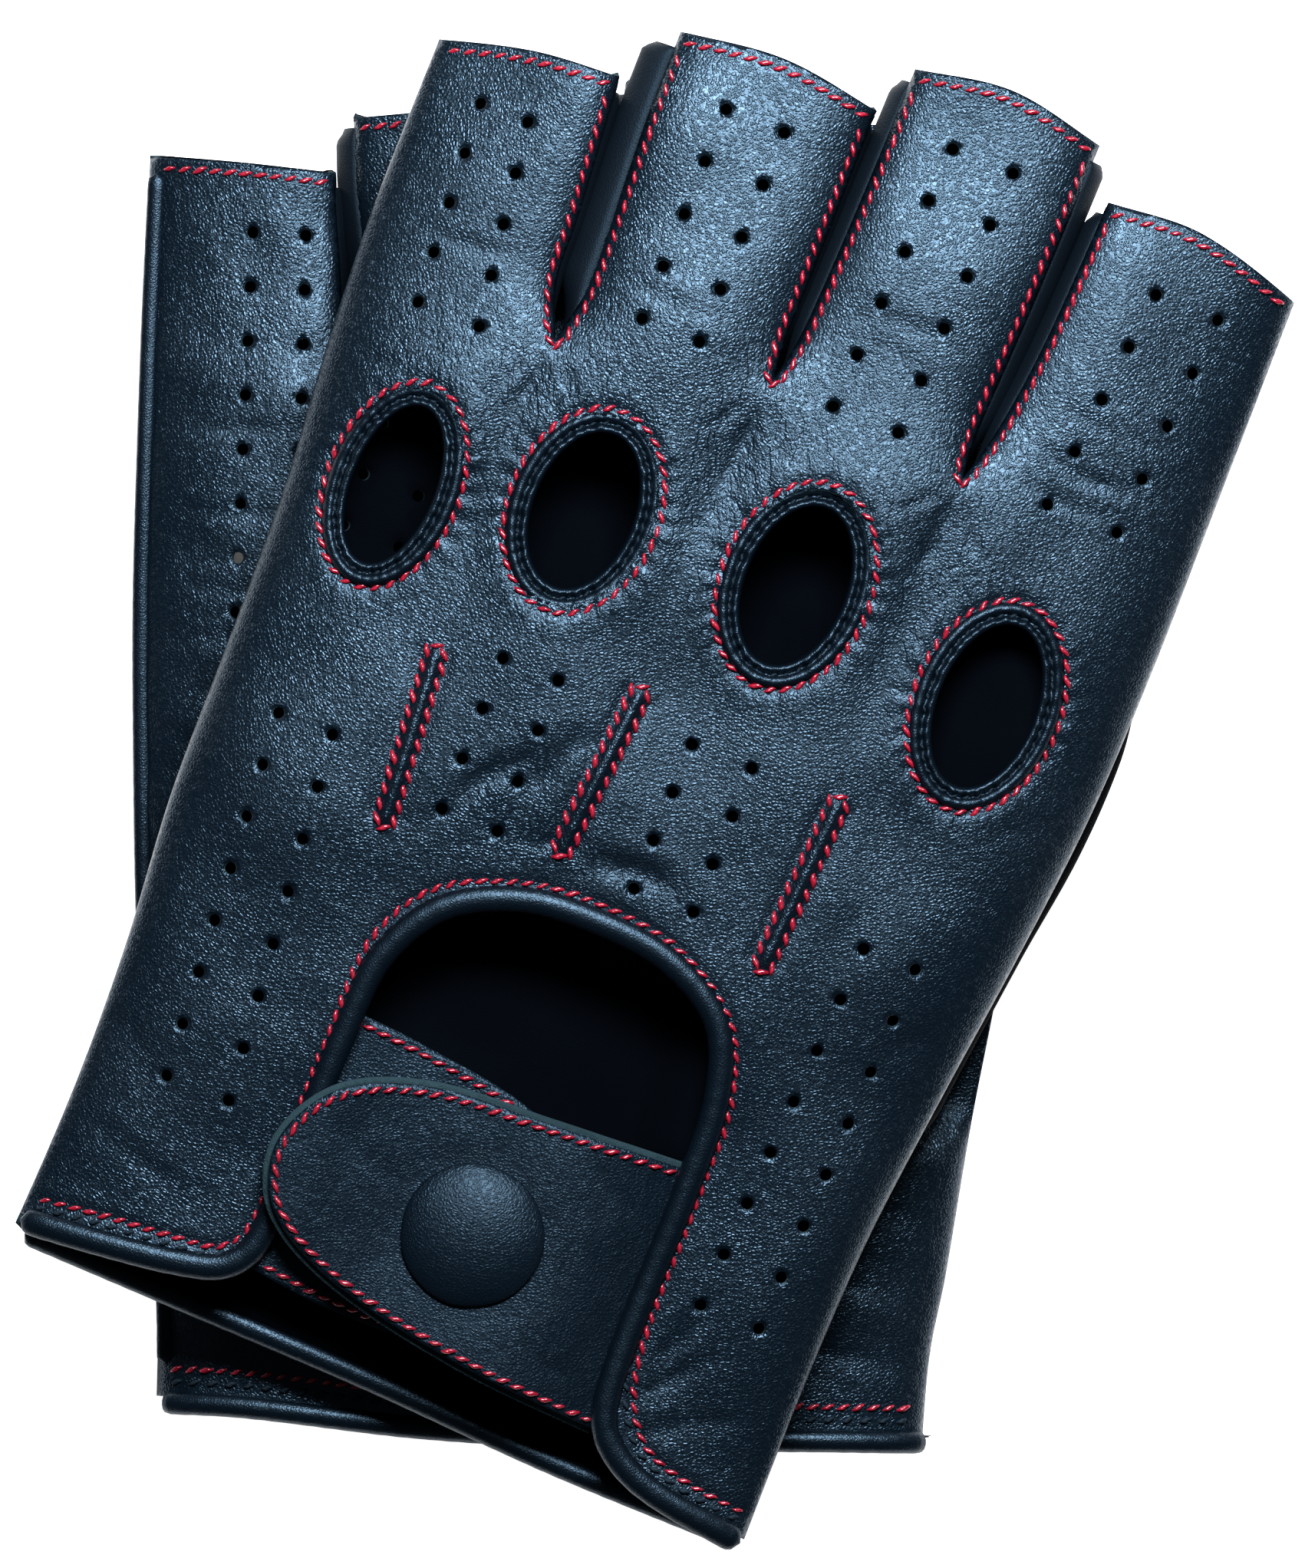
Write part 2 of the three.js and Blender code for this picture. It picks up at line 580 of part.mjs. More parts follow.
const pair = new THREE.Group();
const leftShape = { ...LEFT_SHAPE, ends: FINGER_ENDS, slots: SLOTS };
const rightShape = { ...RIGHT_SHAPE, ends: RIGHT_FINGER_ENDS, slots: RIGHT_SLOTS };
pair.add(place(glove("left", leftShape), LEFT_PLACE));
const right = place(glove("right", rightShape), RIGHT_PLACE);
right.scale.z = -1;
pair.add(right);

export default pair;
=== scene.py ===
import math

import bpy
import numpy as np
from mathutils.geometry import delaunay_2d_cdt
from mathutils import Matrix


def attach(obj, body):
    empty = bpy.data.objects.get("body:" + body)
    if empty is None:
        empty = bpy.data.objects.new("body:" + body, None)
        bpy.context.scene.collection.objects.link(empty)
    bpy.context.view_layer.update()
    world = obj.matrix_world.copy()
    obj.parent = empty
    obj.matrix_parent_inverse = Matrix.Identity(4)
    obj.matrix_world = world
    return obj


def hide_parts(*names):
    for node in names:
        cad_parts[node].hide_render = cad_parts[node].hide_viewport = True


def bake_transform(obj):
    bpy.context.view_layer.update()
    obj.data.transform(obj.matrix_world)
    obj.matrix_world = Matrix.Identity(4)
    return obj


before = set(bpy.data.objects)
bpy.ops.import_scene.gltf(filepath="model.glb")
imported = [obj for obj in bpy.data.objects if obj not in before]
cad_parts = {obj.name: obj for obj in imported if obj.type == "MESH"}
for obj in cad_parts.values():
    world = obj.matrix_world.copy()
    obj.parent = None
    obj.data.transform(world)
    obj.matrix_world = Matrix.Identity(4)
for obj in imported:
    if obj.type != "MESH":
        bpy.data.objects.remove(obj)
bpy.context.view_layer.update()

# A pair of fingerless leather driving gloves. Each glove is drawn in its own frame in millimetres:
# +X to the thumb side, +Y to the fingers, +Z out of the back of the hand, origin at the wrist hem.

MM = 0.001

# ---- placing, the same as the solid model's --------------------------------------------------------

PLACES = {
    "left": {"x": -35.14, "y": -75.26, "z": 26.1, "turn": -22.0, "flip": 1},
    "right": {"x": -14.28, "y": -79.10, "z": 8.8, "turn": -3.3, "flip": -1},
}

# ---- hand shape ------------------------------------------------------------------------------------

# Side edges as (y, x) pairs, palm hem as (x, y) pairs
SHAPES = {
    "left": {
        "little_side": [(-6, -50), (20, -49.3), (40, -50), (60, -51.8), (80, -52.3), (100, -53), (120, -54.8),
                        (140, -55.9), (184, -56)],
        "thumb_side": [(-6, 50), (20, 49.7), (40, 50.2), (60, 52.1), (80, 54.4), (100, 56.2), (120, 56.6),
                       (140, 56.3), (184, 55.6)],
        "palm_hem": [(-50, 1.5), (-25, 0.9), (0, 0.4), (25, -0.7), (50, -0.7)],
    },
    "right": {
        "little_side": [(-6, -48.8), (10, -49.5), (30, -52), (60, -55), (80, -56.5), (100, -57.7),
                        (120, -58.3), (140, -58.7), (184, -59)],
        "thumb_side": [(-6, 48), (10, 48.4), (20, 49.8), (40, 52), (60, 54.6), (80, 55.8), (120, 56.3),
                       (140, 56), (184, 55)],
        "palm_hem": [(-50, -1.4), (-38, -1.2), (-15, -2.5), (10, -2.5), (35, -1.3), (50, -0.8)],
    },
}
BACK_HEIGHT = [(-10, 4.1), (20, 4.6), (40, 5.6), (65, 7.0), (95, 7.5), (120, 7.4), (140, 6.6),
               (160, 5.6), (190, 4.0)]
PALM_DEPTH = [(-10, 5.6), (20, 6.6), (45, 7.7), (120, 7.7), (145, 6.0), (190, 6.0)]
SIDE_ROUNDNESS = 3.6   # exponent of the hand's cross-section
PALM_HOLLOW = {"depth": 1.2, "x": (16.5, 24), "y_low": (34, 43), "y_high": (121, 130)}
LEATHER = 0.95         # thickness of the hand's and the strap's leather
WALL_LEATHER = 0.6
THUMB_LEATHER = 0.8
TAB_LEATHER = 1.0
LINING = 0.65
FINGERS = ("little", "ring", "middle", "index")

# Each finger's cut edge, and the crotch and two edges of each slot from the crotch up
FINGER_ENDS = {
    "little": [(-60, 158.7), (-45, 162.7), (-33.2, 163.8)],
    "ring": [(-28.3, 172), (-15, 173.6), (-1.7, 171.9)],
    "middle": [(0.7, 178.6), (13, 180.6), (25.8, 178.4)],
    "index": [(29.4, 172.2), (42, 172.9), (60, 168.2)],
}
RIGHT_FINGER_ENDS = {
    "little": [(-60, 156.2), (-47, 156.0), (-35.3, 155.4)],
    "ring": [(-33.4, 162.5), (-18, 164.2), (-1.7, 162.8)],
    "middle": [(0.7, 168.9), (13, 170.9), (25.8, 168.7)],
    "index": [(29.4, 165.2), (42, 165.6), (60, 161.2)],
}
PALM_TIP_SHORTER = 0.4
SLOTS = {
    "ring_little": {
        "crotch": (-28.3, 130),
        "low": [(-30.9, 137), (-31.4, 145), (-32.3, 155), (-33.2, 164)],
        "high": [(-27.2, 137), (-27.5, 148), (-28.1, 160), (-28.3, 172)],
        "bulge": (1.3, 4.2),
    },
    "middle_ring": {
        "crotch": (-1.2, 135.5),
        "low": [(-1.6, 141), (-1.6, 150), (-1.7, 160), (-1.8, 172)],
        "high": [(-0.2, 141), (0.3, 150), (0.6, 165), (0.7, 179)],
        "bulge": (1.0, 2.3),
    },
    "index_middle": {
        "crotch": (25.4, 133),
        "low": [(25.0, 139), (25.2, 146), (25.5, 156), (25.8, 179)],
        "high": [(26.9, 139), (28.1, 147), (28.8, 156), (29.4, 172)],
        "bulge": (2.3, 2.1),
    },
}
RIGHT_SLOTS = {
    **SLOTS,
    "ring_little": {
        "crotch": (-30.2, 128),
        "low": [(-32.8, 135), (-34.0, 144), (-34.9, 151), (-35.3, 156)],
        "high": [(-29.9, 135), (-31.2, 145), (-32.6, 154), (-33.4, 163)],
        "bulge": (1.3, 2.7),
    },
}
SHAPES["left"].update(ends=FINGER_ENDS, slots=SLOTS)
SHAPES["right"].update(ends=RIGHT_FINGER_ENDS, slots=RIGHT_SLOTS)
SLOT_ROLL = 2.4   # how far a finger's leather turns down at its slot edges
SLOT_ROLL_WIDTH = 9.0

# Knuckle holes: centre x, y, half width and half length of the opening
KNUCKLES = {
    "little": (-40.3, 105.8, 5.2, 10.3),
    "ring": (-17, 111.7, 6.3, 10.1),
    "middle": (11.1, 112.9, 6.3, 10.3),
    "index": (38.9, 107.9, 6.1, 10.6),
}
RING_PUCKERS = 38
RING_RED_OFFSET = 3.25
RING_GROOVE = 1.35
UNDER_RING = 2.2   # how much wider than the opening the back is cut, under its ring

# Wrist: piping centre line and the red stitch line on the back
PIPING_LINE = [(-49.3, 3.0), (-38, 4.2), (-29, 5.5), (-23.5, 7.2), (-20.8, 11), (-20.4, 22), (-20.4, 40),
               (-19.6, 50.5), (-14.8, 59), (-6, 63.7), (4, 64.7), (14, 63.5), (22.4, 58.6), (25.9, 50),
               (26.7, 38), (26.9, 14), (28.6, 6), (35, 1.6), (49.6, -0.9)]
RED_WRIST_LINE = [(-49.4, 6), (-40, 7.3), (-30, 8.3), (-25, 9.1), (-22.5, 12), (-22, 20), (-22.1, 42),
                  (-21.5, 52.6), (-16.5, 61), (-6, 65.9), (4, 66.8), (14.5, 65.3), (24, 59.3), (27.9, 50),
                  (28.5, 38), (28.8, 20), (30.2, 11.5), (34, 6), (40, 3.8), (49.5, 2.7)]
PIPING_RADIUS = 1.7

# Strap and tab outlines, and heights of their undersides as (x, z) pairs
STRAP_TOP = [(26.8, 40.3), (8, 39.2), (-8, 37.9), (-18.5, 33.2), (-23.2, 24.5)]
STRAP_BOTTOM = [(-23.2, 24.5), (-20.5, 16.2), (-10, 10.4), (8, 6.7), (26.8, 5.3)]
STRAP_HEIGHT = [(-30, 7.6), (-18.5, 7.5), (-13, 6.5), (-6, 5.5), (4, 5.4), (13.5, 5.3), (19, 4.3), (26, 1.9)]
TAB_TOP = [(-24, 43.2), (-8, 41.9), (6, 39.2), (13, 33), (15.5, 23)]
TAB_BOTTOM = [(15.5, 23), (13, 13), (6, 8.2), (-8, 7.0), (-24, 8.6)]
TAB_HEIGHT = [(-30, 1.2), (-19, 1.3), (-8, 0.9), (4, 0.6), (20, 0.5)]
SNAP = (4.0, 22.5)   # centre of cap, socket, stud and post
CAP_RADIUS = 9.0

# Points: three raised tucks down the back, each (x, y) top to bottom
POINTS = [((-27.5, 89.2), (-25.5, 65.5)), ((-1.8, 94), (-3.8, 70.5)), ((26.3, 90.5), (25.0, 66.5))]
POINT_ROW_APART = 2.4

# Perforations: rows, y at top and bottom, then x at top and bottom of the two columns
PERFORATIONS_BACK = [
    (5, 154.2, 128.2, (-48.2, -46.1), (-41.8, -37.8)),
    (5, 165.0, 136.7, (-19.3, -19.3), (-11.5, -11.5)),
    (6, 171.0, 135.5, (8.8, 7.0), (17.0, 15.8)),
    (5, 163.6, 134.2, (39.3, 36.5), (47.7, 45.9)),
    (8, 74.0, 26.6, (-43.0, -39.0), (-35.7, -30.6)),
    (4, 90.8, 70.5, (-19.5, -19.5), (-12.0, -12.0)),
    (4, 89.7, 70.3, (6.5, 6.5), (14.5, 14.5)),
    (8, 74.0, 25.0, (36.0, 33.8), (43.0, 41.7)),
]
PERFORATIONS_PALM = [
    (8, 146.9, 98.9, (-45.2, -44.6), (-38.4, -37.0)),
    (4, 150.0, 128.0, (-15.4, -15.4), (-7.6, -7.6)),
    (4, 152.0, 130.0, (12.0, 11.4), (20.4, 19.8)),
    (3, 150.0, 133.0, (34.5, 33.4), (42.8, 41.9)),
]
PERFORATION_RADIUS = 0.76

# Thumb, lying flat under the palm
THUMB_AT = (41.0, 60.0)
THUMB_TOP = -1.6
THUMB_THICK = 6.9
THUMB_ROOT_RADIUS = 11.0
THUMB_LONG = 58.0
THUMB_MIDDLE = [(-12, 0), (0, 0), (20, 0.6), (48, 1.0), (70, 1.1)]
THUMB_HALF_WIDTH = [(0, 11), (20, 12.6), (35, 14.3), (48, 14.5), (58, 13.2), (70, 13.0)]

# Thread
STITCH_LONG = 1.92
STITCH_PITCH = 1.93
STITCH_SLANT = 0.40   # radians off the seam's line
THREAD_RADIUS = 0.29
POINT_STITCH = {"pitch": 2.0, "length": 2.1, "radius": 0.34, "slant": 0.5}
HEM_STITCH = {"pitch": 2.3, "length": 1.7, "radius": 0.3}
GROOVE_STITCH = {"pitch": 1.6, "length": 1.2, "radius": 0.2}
END_ROW_INSET = 1.35   # red row from a finger's cut edge
FINE_SHEET = 0.72     # triangle size of the leather sheets that lie in view, and of those underneath
COARSE_SHEET = 1.5
SIDE_STEPS = (0.0, 0.0004, 0.0016, 0.0037, 0.0068, 0.011, 0.017, 0.025, 0.036, 0.05)   # shares of half width

CREASE_DEPTH = 0.38

# Soft creases in the back: line, half width, depth
BACK_CREASES = [
    ([(-29, 134), (-29, 117), (-28, 98), (-26, 90)], 3.4, 1.4),
    ([(-1.5, 138), (-2, 120), (-3.5, 101), (-2, 94)], 3.4, 1.4),
    ([(25.5, 136), (25.5, 118), (26, 100), (26, 91)], 3.4, 1.4),
    ([(-5, 88), (-8, 82), (-13, 74)], 1.9, 1.1),
    ([(-9, 85), (-15, 77), (-20, 72)], 1.2, 0.6),
    ([(-14, 82), (-18, 72), (-24, 64)], 1.4, 0.5),
    ([(-3, 69.3), (2, 71.6), (9, 72.2), (15, 70.2)], 1.5, 1.0),
    ([(-11, 70), (-5, 71.6), (0, 74.0)], 1.0, 0.5),
    ([(-24, 62), (-30, 70), (-31, 80)], 2.2, 0.35),
    ([(28.5, 62), (33, 72), (33, 84)], 2.4, 0.35),
    ([(29, 8), (33, 14), (40, 22)], 1.1, 0.5),
    ([(30, 12), (33, 20), (37, 30)], 1.2, 0.45),
    ([(31, 5.5), (37, 10), (45, 14)], 1.1, 0.4),
    ([(-28.3, 129), (-29, 124), (-30, 119)], 0.8, 0.6),
    ([(-26.5, 128.5), (-24, 125), (-22.5, 123.8)], 0.6, 0.35),
    ([(-30, 128), (-33, 122), (-34, 118)], 0.7, 0.35),
    ([(-1.2, 134), (-1.6, 127), (-2.6, 119)], 0.9, 0.6),
    ([(0, 133), (2.5, 128.5), (4, 126)], 0.6, 0.35),
    ([(-2.6, 133), (-6, 128), (-9, 126)], 0.6, 0.35),
    ([(25.4, 131.5), (25, 125), (24.5, 119)], 0.9, 0.6),
    ([(27, 131), (30, 126), (32, 123)], 0.7, 0.4),
    ([(24, 131), (20, 127), (18, 125.5)], 0.6, 0.35),
    ([(29, 141.5), (40, 139), (53, 141)], 0.9, 0.4),
    ([(30, 136.5), (40, 135), (54, 137)], 0.8, 0.3),
    ([(31, 147), (41, 145.5), (52, 147)], 0.9, 0.25),
    ([(2.5, 147), (13, 148.5), (23, 147)], 1.0, 0.25),
    ([(-26, 141), (-15, 140), (-4, 141.5)], 1.0, 0.25),
    ([(-54, 138), (-44, 137), (-34, 138.5)], 1.0, 0.3),
    ([(-54, 121), (-48, 119.5), (-40, 120.5)], 0.9, 0.3),
    ([(-50, 32), (-44, 29), (-38, 22)], 1.5, 0.3),
    ([(-49, 18), (-40, 16), (-30, 13)], 1.4, 0.35),
    ([(41, 60), (47, 66), (54, 68)], 1.8, 0.35),
    ([(45, 92), (50, 96), (56, 97)], 1.2, 0.3),
]
# Broad mounds of the back: centre x, y, half width, half length, height
MOUNDS = [(-14, 140, 11, 24, 1.0), (12, 142, 11, 26, 0.9), (42, 138, 10, 22, 0.5), (-10, 104, 12, 10, 0.4),
          (-33, 60, 9, 22, 0.4)]
# Finely wrinkled patches of the back: centre x, y, half width, half length, amount
WRINKLED_PATCHES = [(43, 140, 13, 8, 0.9), (12, 144, 9, 7, 0.5), (-15, 139, 9, 6, 0.5), (-10, 76, 9, 12, 0.6),
                    (5, 71, 16, 4, 0.8), (34, 12, 8, 10, 0.9), (45, 90, 9, 10, 0.35), (28, 63, 8, 8, 0.7),
                    (-45, 125, 9, 8, 0.5)]
PALM_CREASES = [([(-58, y), (-45, y - 1.5 + 3 * math.sin(y)), (-28, y + 1)], 0.9, 0.28)
                for y in range(14, 126, 9)]
PALM_CREASES += [([(16, y), (32, y + 2), (52, y - 1)], 1.0, 0.3) for y in (8, 17, 27)]
STRAP_CREASES = [
    ([(25, 12), (18, 19), (15, 28)], 1.0, 0.35),
    ([(25, 20), (19, 27), (17, 35)], 0.9, 0.3),
    ([(24, 30), (19, 34), (13, 37)], 0.9, 0.3),
    ([(-6, 25), (-13, 27), (-19, 31)], 1.2, 0.25),
    ([(14, 14), (18, 11), (23, 10)], 1.0, 0.3),
]


# ---- curves ----------------------------------------------------------------------------------------

def cubic(pairs, at):
    """Values at `at` of the cubic through (t, value) rows, with Catmull-Rom slopes; value may be a vector."""
    rows = np.asarray(pairs, float)
    t = rows[:, 0]
    v = rows[:, 1:]
    ahead = np.minimum(np.arange(len(t)) + 1, len(t) - 1)
    behind = np.maximum(np.arange(len(t)) - 1, 0)
    slope = (v[ahead] - v[behind]) / (t[ahead] - t[behind])[:, None]
    at = np.clip(np.asarray(at, float), t[0], t[-1])
    i = np.clip(np.searchsorted(t, at, side="right") - 1, 0, len(t) - 2)
    h = t[i + 1] - t[i]
    s = ((at - t[i]) / h)[..., None]
    h = h[..., None]
    value = ((2 * s**3 - 3 * s**2 + 1) * v[i] + (s**3 - 2 * s**2 + s) * h * slope[i]
             + (3 * s**2 - 2 * s**3) * v[i + 1] + (s**3 - s**2) * h * slope[i + 1])
    return value[..., 0] if v.shape[1] == 1 else value


def smooth_line(points, spacing):
    """Evenly spaced points on the smooth curve through the given ones."""
    p = np.asarray(points, float)
    chord = np.concatenate([[0], np.cumsum(np.linalg.norm(np.diff(p, axis=0), axis=1))])
    dense = cubic(np.column_stack([chord, p]), np.linspace(0, chord[-1], max(int(chord[-1] / 0.1), 8)))
    return even(dense, spacing)


def even(line, spacing):
    """The same open line with points evenly spaced along it, both ends kept."""
    along = np.concatenate([[0], np.cumsum(np.linalg.norm(np.diff(line, axis=0), axis=1))])
    count = max(int(round(along[-1] / spacing)), 1) + 1
    at = np.linspace(0, along[-1], count)
    return np.column_stack([np.interp(at, along, line[:, k]) for k in range(line.shape[1])])


def offset(line, distance, closed=False):
    """The plan line moved to the left of its direction by distance."""
    if closed:
        along = np.roll(line, -1, axis=0) - np.roll(line, 1, axis=0)
    else:
        along = np.gradient(line, axis=0)
    along /= np.linalg.norm(along, axis=1)[:, None]
    return line + distance * np.column_stack([-along[:, 1], along[:, 0]])


def oval(x, y, half_width, half_length, count):
    angle = np.linspace(0, 2 * math.pi, count, endpoint=False)
    return np.column_stack([x + half_width * np.cos(angle), y + half_length * np.sin(angle)])


def nearest(x, y, line):
    """Distance from each point to the line's points, and the share of the line where it's nearest."""
    distance = np.full(x.shape, 1e9)
    share = np.zeros(x.shape)
    for i, (px, py) in enumerate(line):
        d = (x - px) ** 2 + (y - py) ** 2
        closer = d < distance
        distance = np.where(closer, d, distance)
        share = np.where(closer, i / max(len(line) - 1, 1), share)
    return np.sqrt(distance), share


def ramp(low, high, value):
    s = np.clip((value - low) / (high - low), 0, 1)
    return s * s * (3 - 2 * s)


# ---- hand surfaces ---------------------------------------------------------------------------------

def slot_lines(shape, name, spacing=0.7):
    slot = shape["slots"][name]
    return tuple(smooth_line([slot["crotch"]] + slot[edge], spacing) for edge in ("low", "high"))


def slot_roll(shape, x, y):
    """How far the leather is turned down beside the finger slots."""
    drop = np.zeros(np.shape(x))
    for name, slot in shape["slots"].items():
        for line in slot_lines(shape, name):
            distance, _ = nearest(x, y, line)
            share = np.clip(1 - distance / SLOT_ROLL_WIDTH, 0, 1)
            depth = SLOT_ROLL * (1 - np.sqrt(np.clip(1 - share**2.2, 0, 1)))
            drop = np.maximum(drop, depth * ramp(slot["crotch"][1] - 4, slot["crotch"][1] + 8, y))
    return drop


def across_hand(shape, x, y):
    left = cubic(shape["little_side"], y)
    right = cubic(shape["thumb_side"], y)
    return np.clip(np.abs((x - (left + right) / 2) / ((right - left) / 2)), 0, 1)


def hand_surface(shape, x, y, back):
    """Height of the leather's outside over the hand's mid plane, in mm, without creases.

    A flattened tube: height times the square root of 1 - |share of half width| ** SIDE_ROUNDNESS."""
    x = np.asarray(x, float)
    y = np.asarray(y, float)
    full = np.sqrt(np.clip(1 - across_hand(shape, x, y) ** SIDE_ROUNDNESS, 0, 1))
    roll = slot_roll(shape, x, y)
    if back:
        return (cubic(BACK_HEIGHT, y) - roll) * full
    depth = cubic(PALM_DEPTH, y)
    hollow = ramp(*PALM_HOLLOW["x"], x) * ramp(*PALM_HOLLOW["y_low"], y)
    hollow *= 1 - ramp(*PALM_HOLLOW["y_high"], y)
    return -(depth + (PALM_HOLLOW["depth"] - depth) * hollow - roll) * full


def mounds(x, y):
    """Broad fullness of the fingers and of the back between the window and the knuckles."""
    height = np.zeros(np.shape(x))
    for cx, cy, wide, tall, high in MOUNDS:
        height += high * np.exp(-((x - cx) / wide) ** 2 - ((y - cy) / tall) ** 2)
    return height


def creases(x, y, lines):
    """Soft folds: a valley along each line with a faint ridge on both sides, fading at its ends.

    The depth wavers along the line, so that no two folds look alike."""
    height = np.zeros(np.shape(x))
    for points, width, depth in lines:
        distance, share = nearest(x, y, smooth_line(points, 0.6))
        fade = ramp(0, 0.35, share) * (1 - ramp(0.6, 1, share)) * (1 + 0.3 * np.sin(9 * share + points[0][0]))
        valley = np.exp(-(distance / width) ** 2) - 0.2 * np.exp(-((distance - 2.2 * width) / width) ** 2)
        height -= CREASE_DEPTH * depth * fade * valley
    return height


def undulation(x, y, seed, longest, amount):
    """Gentle unevenness: a sum of waves in random directions, from the longest down to a third of it."""
    random = np.random.default_rng(seed)
    total = np.zeros(np.shape(x))
    for _ in range(14):
        angle = random.uniform(0, math.pi)
        length = longest * random.uniform(0.33, 1)
        phase = random.uniform(0, 2 * math.pi)
        along = x * math.cos(angle) + y * math.sin(angle)
        total += np.sin(along * 2 * math.pi / length + phase) * length / longest
    return total * amount / 3


def knuckle_polar(x, y, knuckle):
    """Distance out from a knuckle opening's edge, roughly, and angle round it."""
    cx, cy, half_width, half_length = knuckle
    angle = np.arctan2((y - cy) / half_length, (x - cx) / half_width)
    reach = np.hypot((x - cx) / half_width, (y - cy) / half_length)
    edge = np.hypot(half_width * np.cos(angle), half_length * np.sin(angle))
    return (reach - 1) * edge, angle


def back_relief(x, y):
    """Creases, the three raised points, puckers round the rings and the stitches' grooves."""
    height = creases(x, y, BACK_CREASES) + mounds(x, y)
    height += undulation(x, y, 3, 22, 0.07) + undulation(x, y, 21, 60, 0.5)
    for top, bottom in POINTS:
        line = smooth_line([top, bottom], 0.5)
        distance, share = nearest(x, y, line)
        ends = ramp(0, 0.06, share) * (1 - ramp(0.94, 1, share))
        height += 1.0 * ends * np.exp(-(distance / 0.75) ** 2)
        height -= 0.3 * ends * np.exp(-((distance - 1.5) / 0.7) ** 2)
    for knuckle in KNUCKLES.values():
        out, angle = knuckle_polar(x, y, knuckle)
        near = np.exp(-((out - 3.0) / 2.2) ** 2)
        height += near * (0.13 * np.sin(RING_PUCKERS * angle) + 0.08 * np.sin(17 * angle + 1))
        height -= 0.22 * np.exp(-((out - RING_RED_OFFSET) / 0.6) ** 2)
        height += 0.08 * np.exp(-((out - 5.2) / 1.6) ** 2)
    distance, _ = nearest(x, y, smooth_line(RED_WRIST_LINE, 0.5))
    height -= 0.25 * np.exp(-(distance / 0.6) ** 2)
    return height


def back_creasing(shape, x, y):
    """Where the back is finely wrinkled, from 0 to 1: by the crotches, the rings, the tucks and the hem."""
    amount = np.full(np.shape(x), 0.05)
    for slot in shape["slots"].values():
        cx, cy = slot["crotch"]
        amount += 0.9 * np.exp(-((x - cx) / 9) ** 2 - ((y - cy + 9) / 13) ** 2)
    for knuckle in KNUCKLES.values():
        out, _ = knuckle_polar(x, y, knuckle)
        amount += 0.45 * np.exp(-((out - 5) / 3.5) ** 2)
    for cx, cy, wide, tall, much in WRINKLED_PATCHES:
        amount += much * np.exp(-((x - cx) / wide) ** 2 - ((y - cy) / tall) ** 2)
    return np.clip(amount, 0, 1)


def palm_creasing(y):
    return 0.25 + 0.2 * np.sin(y / 9) ** 2


def palm_relief(x, y):
    return creases(x, y, PALM_CREASES) + undulation(x, y, 8, 18, 0.14)


# ---- building meshes -------------------------------------------------------------------------------

def to_world(side, points):
    """Points of a glove's own frame, in mm, as metres in the shared frame."""
    place = PLACES[side]
    turn = math.radians(place["turn"])
    p = np.asarray(points, float)
    x = place["x"] + p[..., 0] * math.cos(turn) - p[..., 1] * math.sin(turn)
    y = place["y"] + p[..., 0] * math.sin(turn) + p[..., 1] * math.cos(turn)
    z = place["z"] + place["flip"] * p[..., 2]
    return np.stack([x, y, z], axis=-1) * MM


def mesh_piece(name, side, points, faces, materials, slot="leather", thick=0.0):
    """A mesh object from glove-frame points and an array of equal-sized faces, smooth shaded.

    With thick, the sheet is given that thickness inwards; its inside and rim take materials 2 and 3."""
    faces = np.asarray(faces, dtype=np.int32)
    if PLACES[side]["flip"] < 0:
        faces = faces[:, ::-1]
    mesh = bpy.data.meshes.new(name)
    mesh.vertices.add(len(points))
    mesh.vertices.foreach_set("co", to_world(side, points).astype(np.float32).ravel())
    mesh.loops.add(faces.size)
    mesh.loops.foreach_set("vertex_index", faces.ravel())
    mesh.polygons.add(len(faces))
    mesh.polygons.foreach_set("loop_start", np.arange(0, faces.size, faces.shape[1], dtype=np.int32))
    mesh.polygons.foreach_set("use_smooth", np.ones(len(faces), dtype=bool))
    mesh.update(calc_edges=True)
    mesh.validate()
    for material in materials:
        mesh.materials.append(material)
    piece = bpy.data.objects.new(name, mesh)
    bpy.context.scene.collection.objects.link(piece)
    if thick:
        solidify = piece.modifiers.new("thickness", "SOLIDIFY")
        solidify.thickness = thick * MM
        solidify.offset = -1
        solidify.use_even_offset = False
        solidify.material_offset = 1
        solidify.material_offset_rim = 2
    return piece


def add_creasing(piece, amount):
    """Keeps how finely wrinkled each point is, for the leather's material to read."""
    attribute = piece.data.attributes.new("creasing", "FLOAT", "POINT")
    attribute.data.foreach_set("value", np.broadcast_to(amount, len(piece.data.vertices)).astype(np.float32))


def grid_faces(rows, columns, wrap=False):
    """Four-sided faces of a grid of rows by columns points; wrap joins the last column to the first."""
    i = np.arange(rows - 1)[:, None]
    j = np.arange(columns if wrap else columns - 1)[None, :]
    after = (j + 1) % columns
    a = i * columns + j
    b = i * columns + after
    return np.stack([a, b, b + columns, a + columns], axis=-1).reshape(-1, 4)


def inside(x, y, loop):
    """True where a point lies inside the closed loop, by counting edges crossed."""
    odd = np.zeros(x.shape, dtype=bool)
    x0, y0 = loop[-1]
    for x1, y1 in loop:
        if y0 != y1:
            crosses = (y0 > y) != (y1 > y)
            odd ^= crosses & (x < x0 + (y - y0) * (x1 - x0) / (y1 - y0))
        x0, y0 = x1, y1
    return odd


def on_sheet(points, outline, holes):
    """True where a plan point lies inside the outline and outside every hole."""
    keep = inside(points[:, 0], points[:, 1], outline)
    for hole in holes:
        near = (np.abs(points - hole.mean(axis=0)) < np.ptp(hole, axis=0)).all(axis=1)
        keep[near] &= ~inside(points[near, 0], points[near, 1], hole)
    return keep


